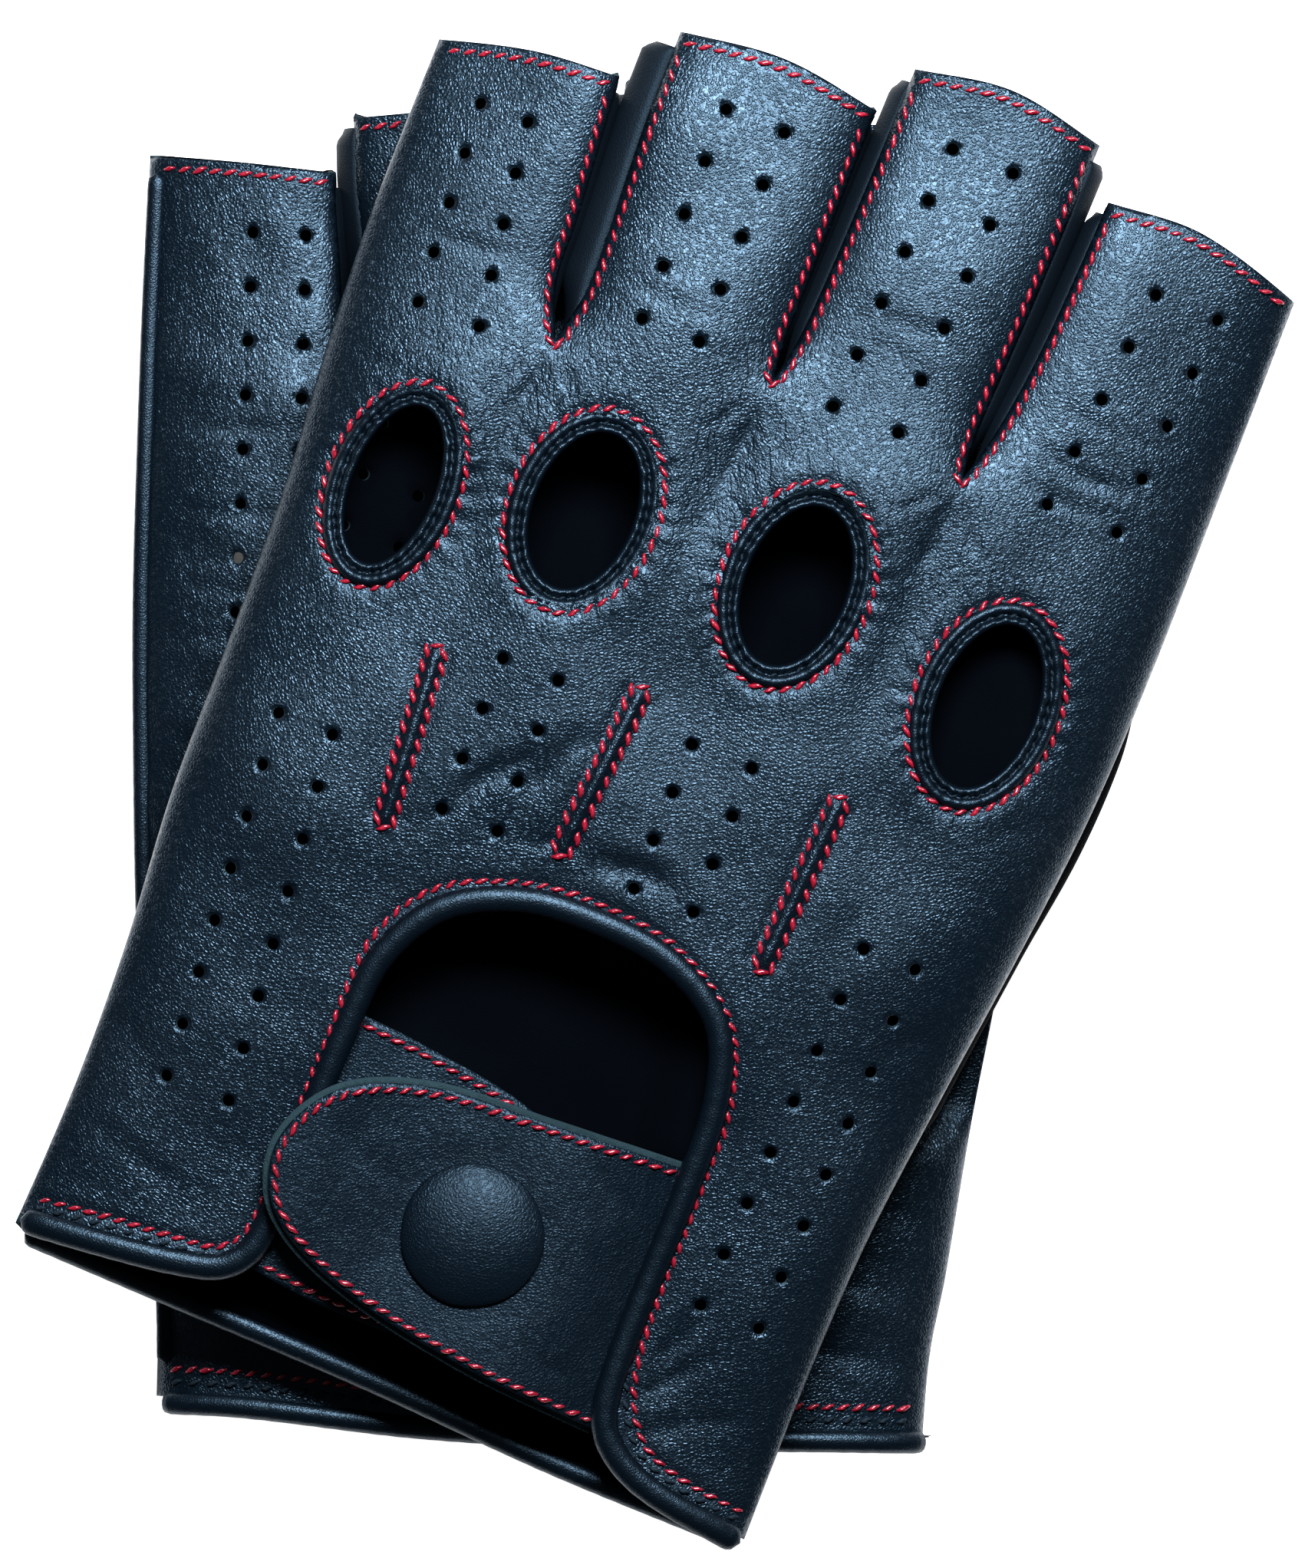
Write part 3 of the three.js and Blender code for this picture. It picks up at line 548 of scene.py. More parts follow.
def sheet_triangles(outline, holes, extra, spacing):
    """Plan points and triangles of a sheet inside the outline and outside the holes, evenly filled."""
    loops = [outline] + holes
    edge = np.concatenate(loops)
    low, high = outline.min(axis=0), outline.max(axis=0)
    xs, ys = np.meshgrid(np.arange(low[0], high[0], spacing), np.arange(low[1], high[1], spacing * 0.866))
    xs = xs + (np.arange(len(ys)) % 2)[:, None] * spacing / 2
    fill = np.concatenate([np.column_stack([xs.ravel(), ys.ravel()]), extra])
    keep = on_sheet(fill, outline, holes)
    fill = fill[keep]
    distance, _ = nearest(fill[:, 0], fill[:, 1], edge)
    clear = np.where(np.arange(len(fill)) >= len(fill) - keep[len(xs.ravel()):].sum(), 0.02, spacing * 0.4)
    fill = fill[distance > clear]
    points = np.concatenate([edge, fill])
    edges = []
    start = 0
    for loop in loops:
        ids = np.arange(start, start + len(loop))
        edges += list(zip(ids.tolist(), np.roll(ids, -1).tolist()))
        start += len(loop)
    flat, _, faces, _, _, _ = delaunay_2d_cdt([tuple(p) for p in points.tolist()], edges, [], 0, 1e-5)
    flat = np.array([tuple(p) for p in flat])
    faces = np.array(faces)
    faces = faces[on_sheet(flat[faces].mean(axis=1), outline, holes)]
    a, b, c = flat[faces[:, 0]], flat[faces[:, 1]], flat[faces[:, 2]]
    turned = (b[:, 0] - a[:, 0]) * (c[:, 1] - a[:, 1]) - (b[:, 1] - a[:, 1]) * (c[:, 0] - a[:, 0]) < 0
    faces[turned] = faces[turned][:, ::-1]
    return flat, faces


def tube(name, side, line, radius_across, radius_up, materials, slot="leather", rounds=14, lift=None):
    """A closed piping: an oval section swept along a 3-D line, its ends drawn in to a point."""
    tangent = np.gradient(line, axis=0)
    tangent /= np.linalg.norm(tangent, axis=1)[:, None]
    across = np.cross(tangent, [0, 0, 1.0])
    across /= np.linalg.norm(across, axis=1)[:, None]
    up = np.cross(across, tangent)
    along = np.concatenate([[0], np.cumsum(np.linalg.norm(np.diff(line, axis=0), axis=1))])
    from_end = np.minimum(along, along[-1] - along)
    size = np.sqrt(np.clip(1 - np.clip(1 - from_end / radius_across, 0, 1) ** 2, 0.0004, 1))
    ripple = 1 + 0.015 * np.sin(along * 2.4) * np.sin(along * 0.37)
    size = size * ripple
    angle = np.linspace(0, 2 * math.pi, rounds, endpoint=False)
    ring = (across[:, None] * (np.cos(angle) * radius_across)[None, :, None]
            + up[:, None] * (np.sin(angle) * radius_up)[None, :, None]) * size[:, None, None]
    points = (line[:, None] + ring).reshape(-1, 3)
    return mesh_piece(name, side, points, grid_faces(len(line), rounds, wrap=True)[:, ::-1], materials, slot)


# ---- thread ----------------------------------------------------------------------------------------

def stitch_shape(length, radius, rings=9, rounds=10):
    """One stitch along X: a two-ply thread, twisted, its ends sunk into the leather."""
    s = np.linspace(-1, 1, rings)[:, None]
    angle = np.linspace(0, 2 * math.pi, rounds, endpoint=False)[None, :]
    ply = 0.58 + 0.52 * np.abs(np.cos(angle - 2.6 * s))
    size = radius * ply * np.sqrt(np.clip(1 - np.abs(s) ** 2.6 * 0.85, 0.03, 1))
    x = s * length / 2 + 0 * angle
    y = size * np.cos(angle)
    z = size * np.sin(angle) + radius * (0.85 - 1.5 * np.abs(s) ** 2.6)
    return np.stack([x, y, z], axis=-1).reshape(-1, 3), grid_faces(rings, rounds, wrap=True)


def stitches(lines, height, pitch=STITCH_PITCH, length=STITCH_LONG, radius=THREAD_RADIUS, closed=False,
             seed=1, slant=STITCH_SLANT):
    """Points and faces of all the stitches along plan lines; height(x, y) is the surface they lie on."""
    shape, shape_faces = stitch_shape(length, radius)
    random = np.random.default_rng(seed)
    centres = []
    tangents = []
    for line in lines:
        closed_line = np.concatenate([line, line[:1]]) if closed else line
        along = np.concatenate([[0], np.cumsum(np.linalg.norm(np.diff(closed_line, axis=0), axis=1))])
        count = max(int(round(along[-1] / pitch)), 1)
        at = (np.arange(count) + 0.5) * along[-1] / count
        ends = [np.column_stack([np.interp(at + shift, along, closed_line[:, k]) for k in (0, 1)])
                for shift in (-length / 2, length / 2)]
        heights = [height(end[:, 0], end[:, 1]) for end in ends]
        ends = [np.column_stack([end, h]) for end, h in zip(ends, heights)]
        centres.append((ends[0] + ends[1]) / 2)
        tangents.append(ends[1] - ends[0])
    centre = np.concatenate(centres)
    tangent = np.concatenate(tangents)
    tangent /= np.linalg.norm(tangent, axis=1)[:, None]
    sideways = np.cross([0, 0, 1.0], tangent)
    turn = slant + 0.09 * random.normal(size=(len(centre), 1))
    tangent, sideways = (tangent * np.cos(turn) + sideways * np.sin(turn),
                         sideways * np.cos(turn) - tangent * np.sin(turn))
    sideways /= np.linalg.norm(sideways, axis=1)[:, None]
    up = np.cross(tangent, sideways)
    up *= np.sign(up[:, 2:3])
    size = 1 + 0.06 * random.normal(size=(len(centre), 1, 1))
    along, out, high = (shape[None, :, k:k + 1] for k in range(3))
    placed = along * tangent[:, None] + out * sideways[:, None] + high * up[:, None]
    points = centre[:, None] + size * placed
    faces = shape_faces[None] + (np.arange(len(centre)) * len(shape))[:, None, None]
    return points.reshape(-1, 3), faces.reshape(-1, 4)


def joined(parts):
    """Several (points, faces) as one."""
    start = np.cumsum([0] + [len(points) for points, _ in parts[:-1]])
    points = np.concatenate([points for points, _ in parts])
    faces = np.concatenate([faces + first for (_, faces), first in zip(parts, start)])
    return points, faces


# ---- materials -------------------------------------------------------------------------------------

def noise_node(nodes, links, vector, scale, detail, roughness):
    noise = nodes.new("ShaderNodeTexNoise")
    noise.inputs["Scale"].default_value = scale
    noise.inputs["Detail"].default_value = detail
    noise.inputs["Roughness"].default_value = roughness
    links.new(vector, noise.inputs["Vector"])
    return noise


def math_node(nodes, links, operation, *values):
    """A Math node; each value is a socket to link or a number to set."""
    node = nodes.new("ShaderNodeMath")
    node.operation = operation
    for index, value in enumerate(values):
        if isinstance(value, (int, float)):
            node.inputs[index].default_value = value
        else:
            links.new(value, node.inputs[index])
    return node.outputs["Value"]


def range_node(nodes, links, value, from_low, from_high, to_low, to_high):
    node = nodes.new("ShaderNodeMapRange")
    node.interpolation_type = "SMOOTHSTEP"
    names = ("From Min", "From Max", "To Min", "To Max")
    for name, number in zip(names, (from_low, from_high, to_low, to_high)):
        node.inputs[name].default_value = number
    links.new(value, node.inputs["Value"])
    return node.outputs["Result"]


def new_material(name):
    """A node material, with its nodes, its links and its Principled shader."""
    material = bpy.data.materials.new(name)
    material.use_nodes = True
    nodes, links = material.node_tree.nodes, material.node_tree.links
    return material, nodes, links, nodes["Principled BSDF"]


def base_colour(nodes, links, shader, factor, dark, light):
    """Base colour between dark and light by the factor."""
    colour = nodes.new("ShaderNodeMix")
    colour.data_type = "RGBA"
    colour.inputs[6].default_value = (*dark, 1)
    colour.inputs[7].default_value = (*light, 1)
    links.new(factor, colour.inputs["Factor"])
    links.new(colour.outputs[2], shader.inputs["Base Color"])


def bump_node(nodes, links, shader, height, distance):
    bump = nodes.new("ShaderNodeBump")
    bump.inputs["Strength"].default_value = 1.0
    bump.inputs["Distance"].default_value = distance
    links.new(height, bump.inputs["Height"])
    links.new(bump.outputs["Normal"], shader.inputs["Normal"])


WRINKLE_STRETCH = (1.0, 0.35, 1.0)   # wrinkles run along the fingers rather than across


def grain_group():
    """Leather grain from object position: its height in mm and slow colour patches.

    Pebbles are Voronoi cells, high away from the cracks between them. Wrinkles are the narrow bands where
    a slow noise passes through its middle value, as deep as the piece's creasing."""
    group = bpy.data.node_groups.new("leather_grain", "ShaderNodeTree")
    interface = group.interface
    for name in ("Cell Scale", "Pebble", "Wrinkle"):
        interface.new_socket(name, in_out="INPUT", socket_type="NodeSocketFloat")
    for name in ("Height", "Patches"):
        interface.new_socket(name, in_out="OUTPUT", socket_type="NodeSocketFloat")
    nodes, links = group.nodes, group.links
    start = nodes.new("NodeGroupInput")
    end = nodes.new("NodeGroupOutput")
    place = nodes.new("ShaderNodeTexCoord").outputs["Object"]
    bend = noise_node(nodes, links, place, 700, 1, 0.5)
    bent = nodes.new("ShaderNodeMix")
    bent.data_type = "VECTOR"
    bent.inputs["Factor"].default_value = 0.0005
    links.new(place, bent.inputs[4])
    links.new(bend.outputs["Color"], bent.inputs[5])
    cells = nodes.new("ShaderNodeTexVoronoi")
    cells.feature = "DISTANCE_TO_EDGE"
    links.new(bent.outputs[1], cells.inputs["Vector"])
    links.new(start.outputs["Cell Scale"], cells.inputs["Scale"])
    pebbles = range_node(nodes, links, cells.outputs["Distance"], 0.0, 0.36, 0.0, 1.0)
    specks = noise_node(nodes, links, place, 2600, 2, 0.6).outputs["Fac"]
    patches = noise_node(nodes, links, place, 45, 3, 0.55).outputs["Fac"]
    uneven = math_node(nodes, links, "MULTIPLY_ADD", specks, 0.55, pebbles)
    pebble_height = math_node(nodes, links, "MULTIPLY", uneven, start.outputs["Pebble"])
    creasing = nodes.new("ShaderNodeAttribute")
    creasing.attribute_name = "creasing"
    stretched = nodes.new("ShaderNodeMapping")
    stretched.inputs["Rotation"].default_value = (0, 0, 0.35)
    stretched.inputs["Scale"].default_value = WRINKLE_STRETCH
    links.new(bent.outputs[1], stretched.inputs["Vector"])
    folds = noise_node(nodes, links, stretched.outputs["Vector"], 420, 2, 0.55).outputs["Fac"]
    from_middle = math_node(nodes, links, "ABSOLUTE", math_node(nodes, links, "SUBTRACT", folds, 0.5))
    line = range_node(nodes, links, from_middle, 0.0, 0.07, -1.0, 0.0)
    faded = math_node(nodes, links, "MULTIPLY", line, creasing.outputs["Fac"])
    wrinkle_height = math_node(nodes, links, "MULTIPLY", faded, start.outputs["Wrinkle"])
    height = math_node(nodes, links, "ADD", pebble_height, wrinkle_height)
    links.new(height, end.inputs["Height"])
    links.new(patches, end.inputs["Patches"])
    return group


GRAIN = grain_group()
BLUE_SHINE = (0.42, 0.70, 1.0)


def leather(name, dark, light, roughness, cell_scale, pebble, wrinkle, specular=0.5):
    """Grained leather: one bump from the grain's height, slow colour patches and a roughness that varies."""
    material, nodes, links, shader = new_material(name)
    grain = nodes.new("ShaderNodeGroup")
    grain.node_tree = GRAIN
    grain.inputs["Cell Scale"].default_value = cell_scale
    grain.inputs["Pebble"].default_value = pebble
    grain.inputs["Wrinkle"].default_value = wrinkle
    patches = grain.outputs["Patches"]
    base_colour(nodes, links, shader, patches, dark, light)
    rough = range_node(nodes, links, patches, 0.3, 0.7, roughness + 0.03, roughness - 0.03)
    links.new(rough, shader.inputs["Roughness"])
    bump_node(nodes, links, shader, grain.outputs["Height"], MM)
    shader.inputs["Specular IOR Level"].default_value = specular
    shader.inputs["Specular Tint"].default_value = (*BLUE_SHINE, 1)
    return material


def thread(name, dark, light, roughness, specular, tint):
    """Waxed thread: colour varies between stitches and along the fibres."""
    material, nodes, links, shader = new_material(name)
    place = nodes.new("ShaderNodeTexCoord").outputs["Object"]
    fibres = noise_node(nodes, links, place, 1700, 3, 0.5).outputs["Fac"]
    base_colour(nodes, links, shader, fibres, dark, light)
    bump_node(nodes, links, shader, fibres, 0.06 * MM)
    shader.inputs["Roughness"].default_value = roughness
    shader.inputs["Specular IOR Level"].default_value = specular
    shader.inputs["Specular Tint"].default_value = (*tint, 1)
    return material


def nickel():
    material, nodes, links, shader = new_material("snap_nickel")
    place = nodes.new("ShaderNodeTexCoord").outputs["Object"]
    worn = noise_node(nodes, links, place, 600, 2, 0.5).outputs["Fac"]
    links.new(math_node(nodes, links, "MULTIPLY_ADD", worn, 0.17, 0.25), shader.inputs["Roughness"])
    shader.inputs["Base Color"].default_value = (0.45, 0.43, 0.4, 1)
    shader.inputs["Metallic"].default_value = 1
    return material


NAVY = (0.0005, 0.0018, 0.004), (0.0012, 0.004, 0.008)   # dark and light of the grained leather
DEEP_NAVY = (0.0004, 0.0013, 0.003), (0.001, 0.003, 0.006)
NAPPA = leather("nappa", *NAVY, 0.34, 2200, 0.038, 0.05)
STRAP_NAPPA = leather("strap_nappa", *NAVY, 0.42, 2300, 0.034, 0.06, 0.3)
SMOOTH_NAPPA = leather("smooth_nappa", *DEEP_NAVY, 0.36, 2700, 0.018, 0.04, 0.36)
# Painted shade: the finger side walls are coloured darker than the back's leather, for the shade in the slots
# between the fingers.
SHADED_WALL_NAPPA = leather("wall_nappa_painted_shade", (0.0004, 0.0009, 0.002), (0.001, 0.002, 0.004), 0.62, 2700, 0.02, 0.04,
                     0.25)
# The inside face: dark suede of its own, painted darker still for the shade seen inside the perforations and
# the openings.
SUEDE_WITH_PAINTED_SHADE = leather("suede_inside_painted_shade", (0.0003, 0.0005, 0.001), (0.0007, 0.001, 0.002), 0.95, 3200, 0.03, 0.0, 0.04)
CUT_EDGE = leather("cut_edge", (0.005, 0.012, 0.016), (0.018, 0.038, 0.046), 0.8, 3200, 0.05, 0.0, 0.2)
RED_THREAD = thread("red_thread", (0.04, 0.0004, 0.003), (0.42, 0.010, 0.034), 0.27, 0.9, (1, 0.6, 0.68))
BLACK_THREAD = thread("black_thread", (0.0004, 0.001, 0.002), (0.0015, 0.003, 0.006), 0.75, 0.5, BLUE_SHINE)
NICKEL = nickel()
SHEET_MATERIALS = (NAPPA, SUEDE_WITH_PAINTED_SHADE, CUT_EDGE)
STRAP_MATERIALS = (STRAP_NAPPA, SUEDE_WITH_PAINTED_SHADE, CUT_EDGE)
SHADED_WALL_MATERIALS = (SHADED_WALL_NAPPA, SUEDE_WITH_PAINTED_SHADE, CUT_EDGE)


# ---- the pieces of one glove -----------------------------------------------------------------------

def perforations(groups):
    """Hole outlines for two-column groups of rows."""
    holes = []
    for rows, y_top, y_bottom, left, right in groups:
        for share in np.linspace(0, 1, rows):
            for column in (left, right):
                x = column[0] + (column[1] - column[0]) * share
                y = y_top + (y_bottom - y_top) * share
                holes.append(oval(x, y, PERFORATION_RADIUS, PERFORATION_RADIUS, 14))
    return holes


def finger_end(shape, finger, shorter):
    return smooth_line(shape["ends"][finger], 0.7) - (0, shorter)


def side_line(shape, key, low, high):
    """A side edge from low to high y, with points at whole millimetres between."""
    y = np.concatenate([[low], np.arange(math.ceil(low + 0.2), high - 0.2), [high]])
    return np.column_stack([cubic(shape[key], y), y])


def clipped_end(shape, finger, shorter):
    """A finger's cut edge, kept within the hand's sides."""
    line = finger_end(shape, finger, shorter)
    left = cubic(shape["little_side"], line[:, 1])
    right = cubic(shape["thumb_side"], line[:, 1])
    return line[(line[:, 0] > left + 0.3) & (line[:, 0] < right - 0.3)]


def hand_outline(shape, hem, shorter):
    """Closed plan outline of the back or the palm, from the little side of the hem clockwise."""
    ends = {finger: clipped_end(shape, finger, shorter) for finger in FINGERS}
    left_top = ends["little"][0, 1] - 0.15
    right_top = ends["index"][-1, 1] - 0.15
    parts = [side_line(shape, "little_side", hem[0, 1], left_top), ends["little"]]
    for low, slot, high in (("little", "ring_little", "ring"), ("ring", "middle_ring", "middle"),
                            ("middle", "index_middle", "index")):
        down, up = slot_lines(shape, slot)
        parts.append(down[::-1][down[::-1, 1] < ends[low][-1, 1] - 0.5])
        parts.append(up[1:][up[1:, 1] < ends[high][0, 1] - 0.5])
        parts.append(ends[high])
    parts.append(side_line(shape, "thumb_side", hem[-1, 1], right_top)[::-1])
    parts.append(hem[::-1][1:-1])
    return np.concatenate(parts)


def side_fill(shape, low, high):
    """Extra plan points close to both sides, where the leather turns down steeply."""
    y = np.arange(math.ceil(low), high, 1.0)
    left = cubic(shape["little_side"], y)
    right = cubic(shape["thumb_side"], y)
    half = (right - left) / 2
    rows = [np.column_stack([left + half * step, y]) for step in SIDE_STEPS[1:]]
    rows += [np.column_stack([right - half * step, y]) for step in SIDE_STEPS[1:]]
    return np.concatenate(rows)


def to_side(shape, line, key, at):
    """The line with its end point moved onto the hand's side edge."""
    line = line.copy()
    line[at, 0] = cubic(shape[key], line[at, 1])
    return line


def hand_leather(side):
    """The hand: back and palm sheets joined along both sides, open at wrist, fingers and knuckles."""
    shape = SHAPES[side]
    hem = offset(smooth_line(PIPING_LINE, 0.7), 0.6)
    hem = to_side(shape, to_side(shape, hem, "little_side", 0), "thumb_side", -1)
    holes = perforations(PERFORATIONS_BACK)
    holes += [oval(x, y, wide + UNDER_RING, tall + UNDER_RING, 90) for x, y, wide, tall in KNUCKLES.values()]
    outline = hand_outline(shape, hem, 0)
    holes = [hole for hole in holes if hole[:, 1].max() < shape["ends"]["middle"][1][1] - 8]
    back_up = PLACES[side]["flip"] > 0
    fill = side_fill(shape, 4, shape["ends"]["little"][0][1])
    flat, faces = sheet_triangles(outline, holes, fill, FINE_SHEET if back_up else COARSE_SHEET)
    x, y = flat.T
    fade = np.sqrt(np.clip(1 - across_hand(shape, x, y) ** 12, 0, 1))
    back = np.column_stack([x, y, hand_surface(shape, x, y, True) + back_relief(x, y) * fade])
    palm_hem = smooth_line(shape["palm_hem"], 0.7) + (0, 0.8)
    palm_hem = to_side(shape, to_side(shape, palm_hem, "little_side", 0), "thumb_side", -1)
    flat, palm_faces = sheet_triangles(hand_outline(shape, palm_hem, PALM_TIP_SHORTER),
                                       perforations(PERFORATIONS_PALM), fill,
                                       COARSE_SHEET if back_up else FINE_SHEET)
    x, y = flat.T
    fade = np.sqrt(np.clip(1 - across_hand(shape, x, y) ** 12, 0, 1))
    palm = np.column_stack([x, y, hand_surface(shape, x, y, False) - palm_relief(x, y) * fade])
    points, faces = joined([(back, faces), (palm, palm_faces[:, ::-1])])
    piece = mesh_piece(f"{side}_hand_leather", side, points, faces, SHEET_MATERIALS, thick=LEATHER)
    creasing = [back_creasing(shape, back[:, 0], back[:, 1]), palm_creasing(palm[:, 1])]
    add_creasing(piece, np.concatenate(creasing))
    weld = piece.modifiers.new("side_joins", "WELD")
    weld.merge_threshold = 0.03 * MM
    bpy.context.view_layer.objects.active = piece
    piece.modifiers.move(1, 0)
    return piece


def fourchette(side, name):
    """A finger side wall: from the back's slot edge to the palm's, bulging into the slot.

    Rows follow the slot down one finger and up the next, columns go from back to palm."""
    shape = SHAPES[side]
    low, high = name.split("_")[1], name.split("_")[0]
    slot = shape["slots"][name]
    down, up = slot_lines(shape, name)
    low_top = shape["ends"][low][-1][1] - 1.6
    high_top = shape["ends"][high][0][1] - 1.6
    down = down[::-1][down[::-1, 1] < low_top]
    up = up[1:][up[1:, 1] < high_top]
    line = np.concatenate([down, up])
    into = offset(line, 1.0) - line
    into[np.abs(line[:, 1] - slot["crotch"][1]) < 1.5] *= 0.2
    bulge = np.concatenate([np.full(len(down), slot["bulge"][0]), np.full(len(up), slot["bulge"][1])])
    bulge *= ramp(slot["crotch"][1], slot["crotch"][1] + 10, line[:, 1])
    finger_top = np.concatenate([np.full(len(down), low_top), np.full(len(up), high_top)])
    bulge *= 1 - 0.4 * ramp(finger_top - 2, finger_top, line[:, 1])
    share = np.linspace(0, 1, 15)
    edge = line - 0.35 * into
    top = hand_surface(shape, edge[:, 0], edge[:, 1], True) - 0.3
    bottom = hand_surface(shape, edge[:, 0], edge[:, 1], False) + 0.3
    profile = np.sin(math.pi * share) ** 0.7
    plan = edge[:, None] + into[:, None] * (bulge[:, None] * profile[None, :])[..., None]
    height = top[:, None] + (bottom - top)[:, None] * share[None, :]
    points = np.concatenate([plan, height[..., None]], axis=2).reshape(-1, 3)
    faces = grid_faces(len(line), len(share))[:, ::-1]
    # The walls take the leather painted darker for the shade between the fingers.
    return mesh_piece(f"{side}_fourchette_{name}", side, points, faces, SHADED_WALL_MATERIALS,
                      thick=WALL_LEATHER)


def knuckle_ring(side, name):
    """A rolled binding: an inner roll, a puckered groove and an outer roll round the opening."""
    shape = SHAPES[side]
    x, y, half_width, half_length = KNUCKLES[name]
    profile = [(0, 0.75, -2.6), (0.9, 0.15, -1.5), (1.7, 0.0, -0.5), (2.4, 0.18, 0.22), (3.1, 0.58, 0.5),
               (3.7, 0.95, 0.3), (4.2, RING_GROOVE, -0.3), (4.7, 1.62, 0.22), (5.3, 2.05, 0.46),
               (5.9, 2.55, 0.34), (6.4, 2.95, -0.12), (6.9, 2.98, -0.8)]
    out, up = cubic(profile, np.linspace(0, 6.9, 26)).T
    angle = np.linspace(0, 2 * math.pi, 240, endpoint=False)[:, None]
    pucker = np.sin(RING_PUCKERS * angle + 1.6 * np.sin(5 * angle)) + 0.7 * np.sin(17 * angle + 2)
    pucker *= 0.75 + 0.35 * np.sin(3 * angle + x) * np.sin(7 * angle)
    window = np.exp(-((out - RING_GROOVE) / 0.7) ** 2)[None, :]
    reach = out[None, :] + 0.09 * pucker * window
    px = x + (half_width + reach) * np.cos(angle)
    py = y + (half_length + reach) * np.sin(angle)
    pz = hand_surface(shape, px, py, True) + up[None, :] + 0.15 * pucker * window
    points = np.stack([px, py, pz], axis=-1)
    points = np.swapaxes(points, 0, 1).reshape(-1, 3)
    faces = grid_faces(len(out), len(angle), wrap=True)
    return mesh_piece(f"{side}_knuckle_ring_{name}", side, points, faces, (SMOOTH_NAPPA,))


def piping(side):
    shape = SHAPES[side]
    plan = within_sides(shape, smooth_line(PIPING_LINE, 0.6), 0.2)
    height = hand_surface(shape, np.clip(plan[:, 0], -48, 48), plan[:, 1], True) - 0.25
    line = np.column_stack([plan, height])
    return tube(f"{side}_window_binding", side, line, PIPING_RADIUS, 1.15, (SMOOTH_NAPPA,))


def palm_piping(side):
    shape = SHAPES[side]
    plan = smooth_line(shape["palm_hem"], 0.6)
    plan = plan[(np.abs(plan[:, 0]) < 48.3)]
    height = hand_surface(shape, plan[:, 0], plan[:, 1], False) + 0.25
    return tube(f"{side}_palm_binding", side, np.column_stack([plan, height]), 1.45, 1.2, (SMOOTH_NAPPA,))


SEAM_INSET = 1.1


def side_seam(side):
    """The raised seam down the little-finger side: two leather edges sewn face to face, on the palm side."""
    shape = SHAPES[side]
    top = shape["ends"]["little"][0][1] - 1.5
    y = np.arange(3.5, top, 0.8)
    x = cubic(shape["little_side"], y) + SEAM_INSET
    line = np.column_stack([x, y, hand_surface(shape, x, y, False) - 0.1])
    return tube(f"{side}_side_seam", side, line, 1.15, 0.6, (SMOOTH_NAPPA,), rounds=12)


def strap_height(x, y):
    """Top face of the strap: its bend, creases, and a dip round the snap."""
    height = cubic(STRAP_HEIGHT, x) + LEATHER
    away = np.hypot(x - SNAP[0], y - SNAP[1])
    dip = 0.2 * np.exp(-((away - CAP_RADIUS) / 3.0) ** 2)
    return height + creases(x, y, STRAP_CREASES) + undulation(x, y, 5, 14, 0.05) - dip


def strap_outline(inset):
    return offset(smooth_line(STRAP_TOP + STRAP_BOTTOM[1:], 0.5), inset)


def plate(name, side, outline, height, drop, materials, thick, spacing=FINE_SHEET):
    """A flexible plate cut to the outline; height(x, y) is its top face, lowered by drop."""
    flat, faces = sheet_triangles(outline, [], np.zeros((0, 2)), spacing)
    x, y = flat.T
    return mesh_piece(name, side, np.column_stack([x, y, height(x, y) - drop]), faces, materials, thick=thick)


def tab_height(x, y):
    return cubic(TAB_HEIGHT, x) + TAB_LEATHER + undulation(x, y, 9, 16, 0.08)


def snap_cap(side):
    """The leather-covered snap cap: a flat-crowned dome whose rim turns under."""
    base = float(cubic(STRAP_HEIGHT, np.array([SNAP[0]]))[0]) + LEATHER
    profile = [(0, 0.02, 2.45), (2.5, 2.5, 2.32), (5, 5.0, 1.95), (7, 6.9, 1.43), (8.6, 8.3, 0.82),
               (9.6, 8.95, 0.36), (10.2, 9.0, 0.14), (10.9, 8.6, -0.12), (12, 7.5, -0.15)]
    radius, up = cubic(profile, np.linspace(0, 12, 34)).T
    angle = np.linspace(0, 2 * math.pi, 96, endpoint=False)[:, None]
    wave = 1 + 0.006 * np.sin(3 * angle + 1) + 0.004 * np.sin(7 * angle)
    px = SNAP[0] + radius[None, :] * np.cos(angle) * wave
    py = SNAP[1] + radius[None, :] * np.sin(angle) * wave
    pz = base + up[None, :] + 0 * angle
    points = np.swapaxes(np.stack([px, py, pz], axis=-1), 0, 1).reshape(-1, 3)
    return mesh_piece(f"{side}_snap_cap_leather", side, points, grid_faces(len(up), 96, wrap=True)[:, ::-1],
                      (STRAP_NAPPA,))


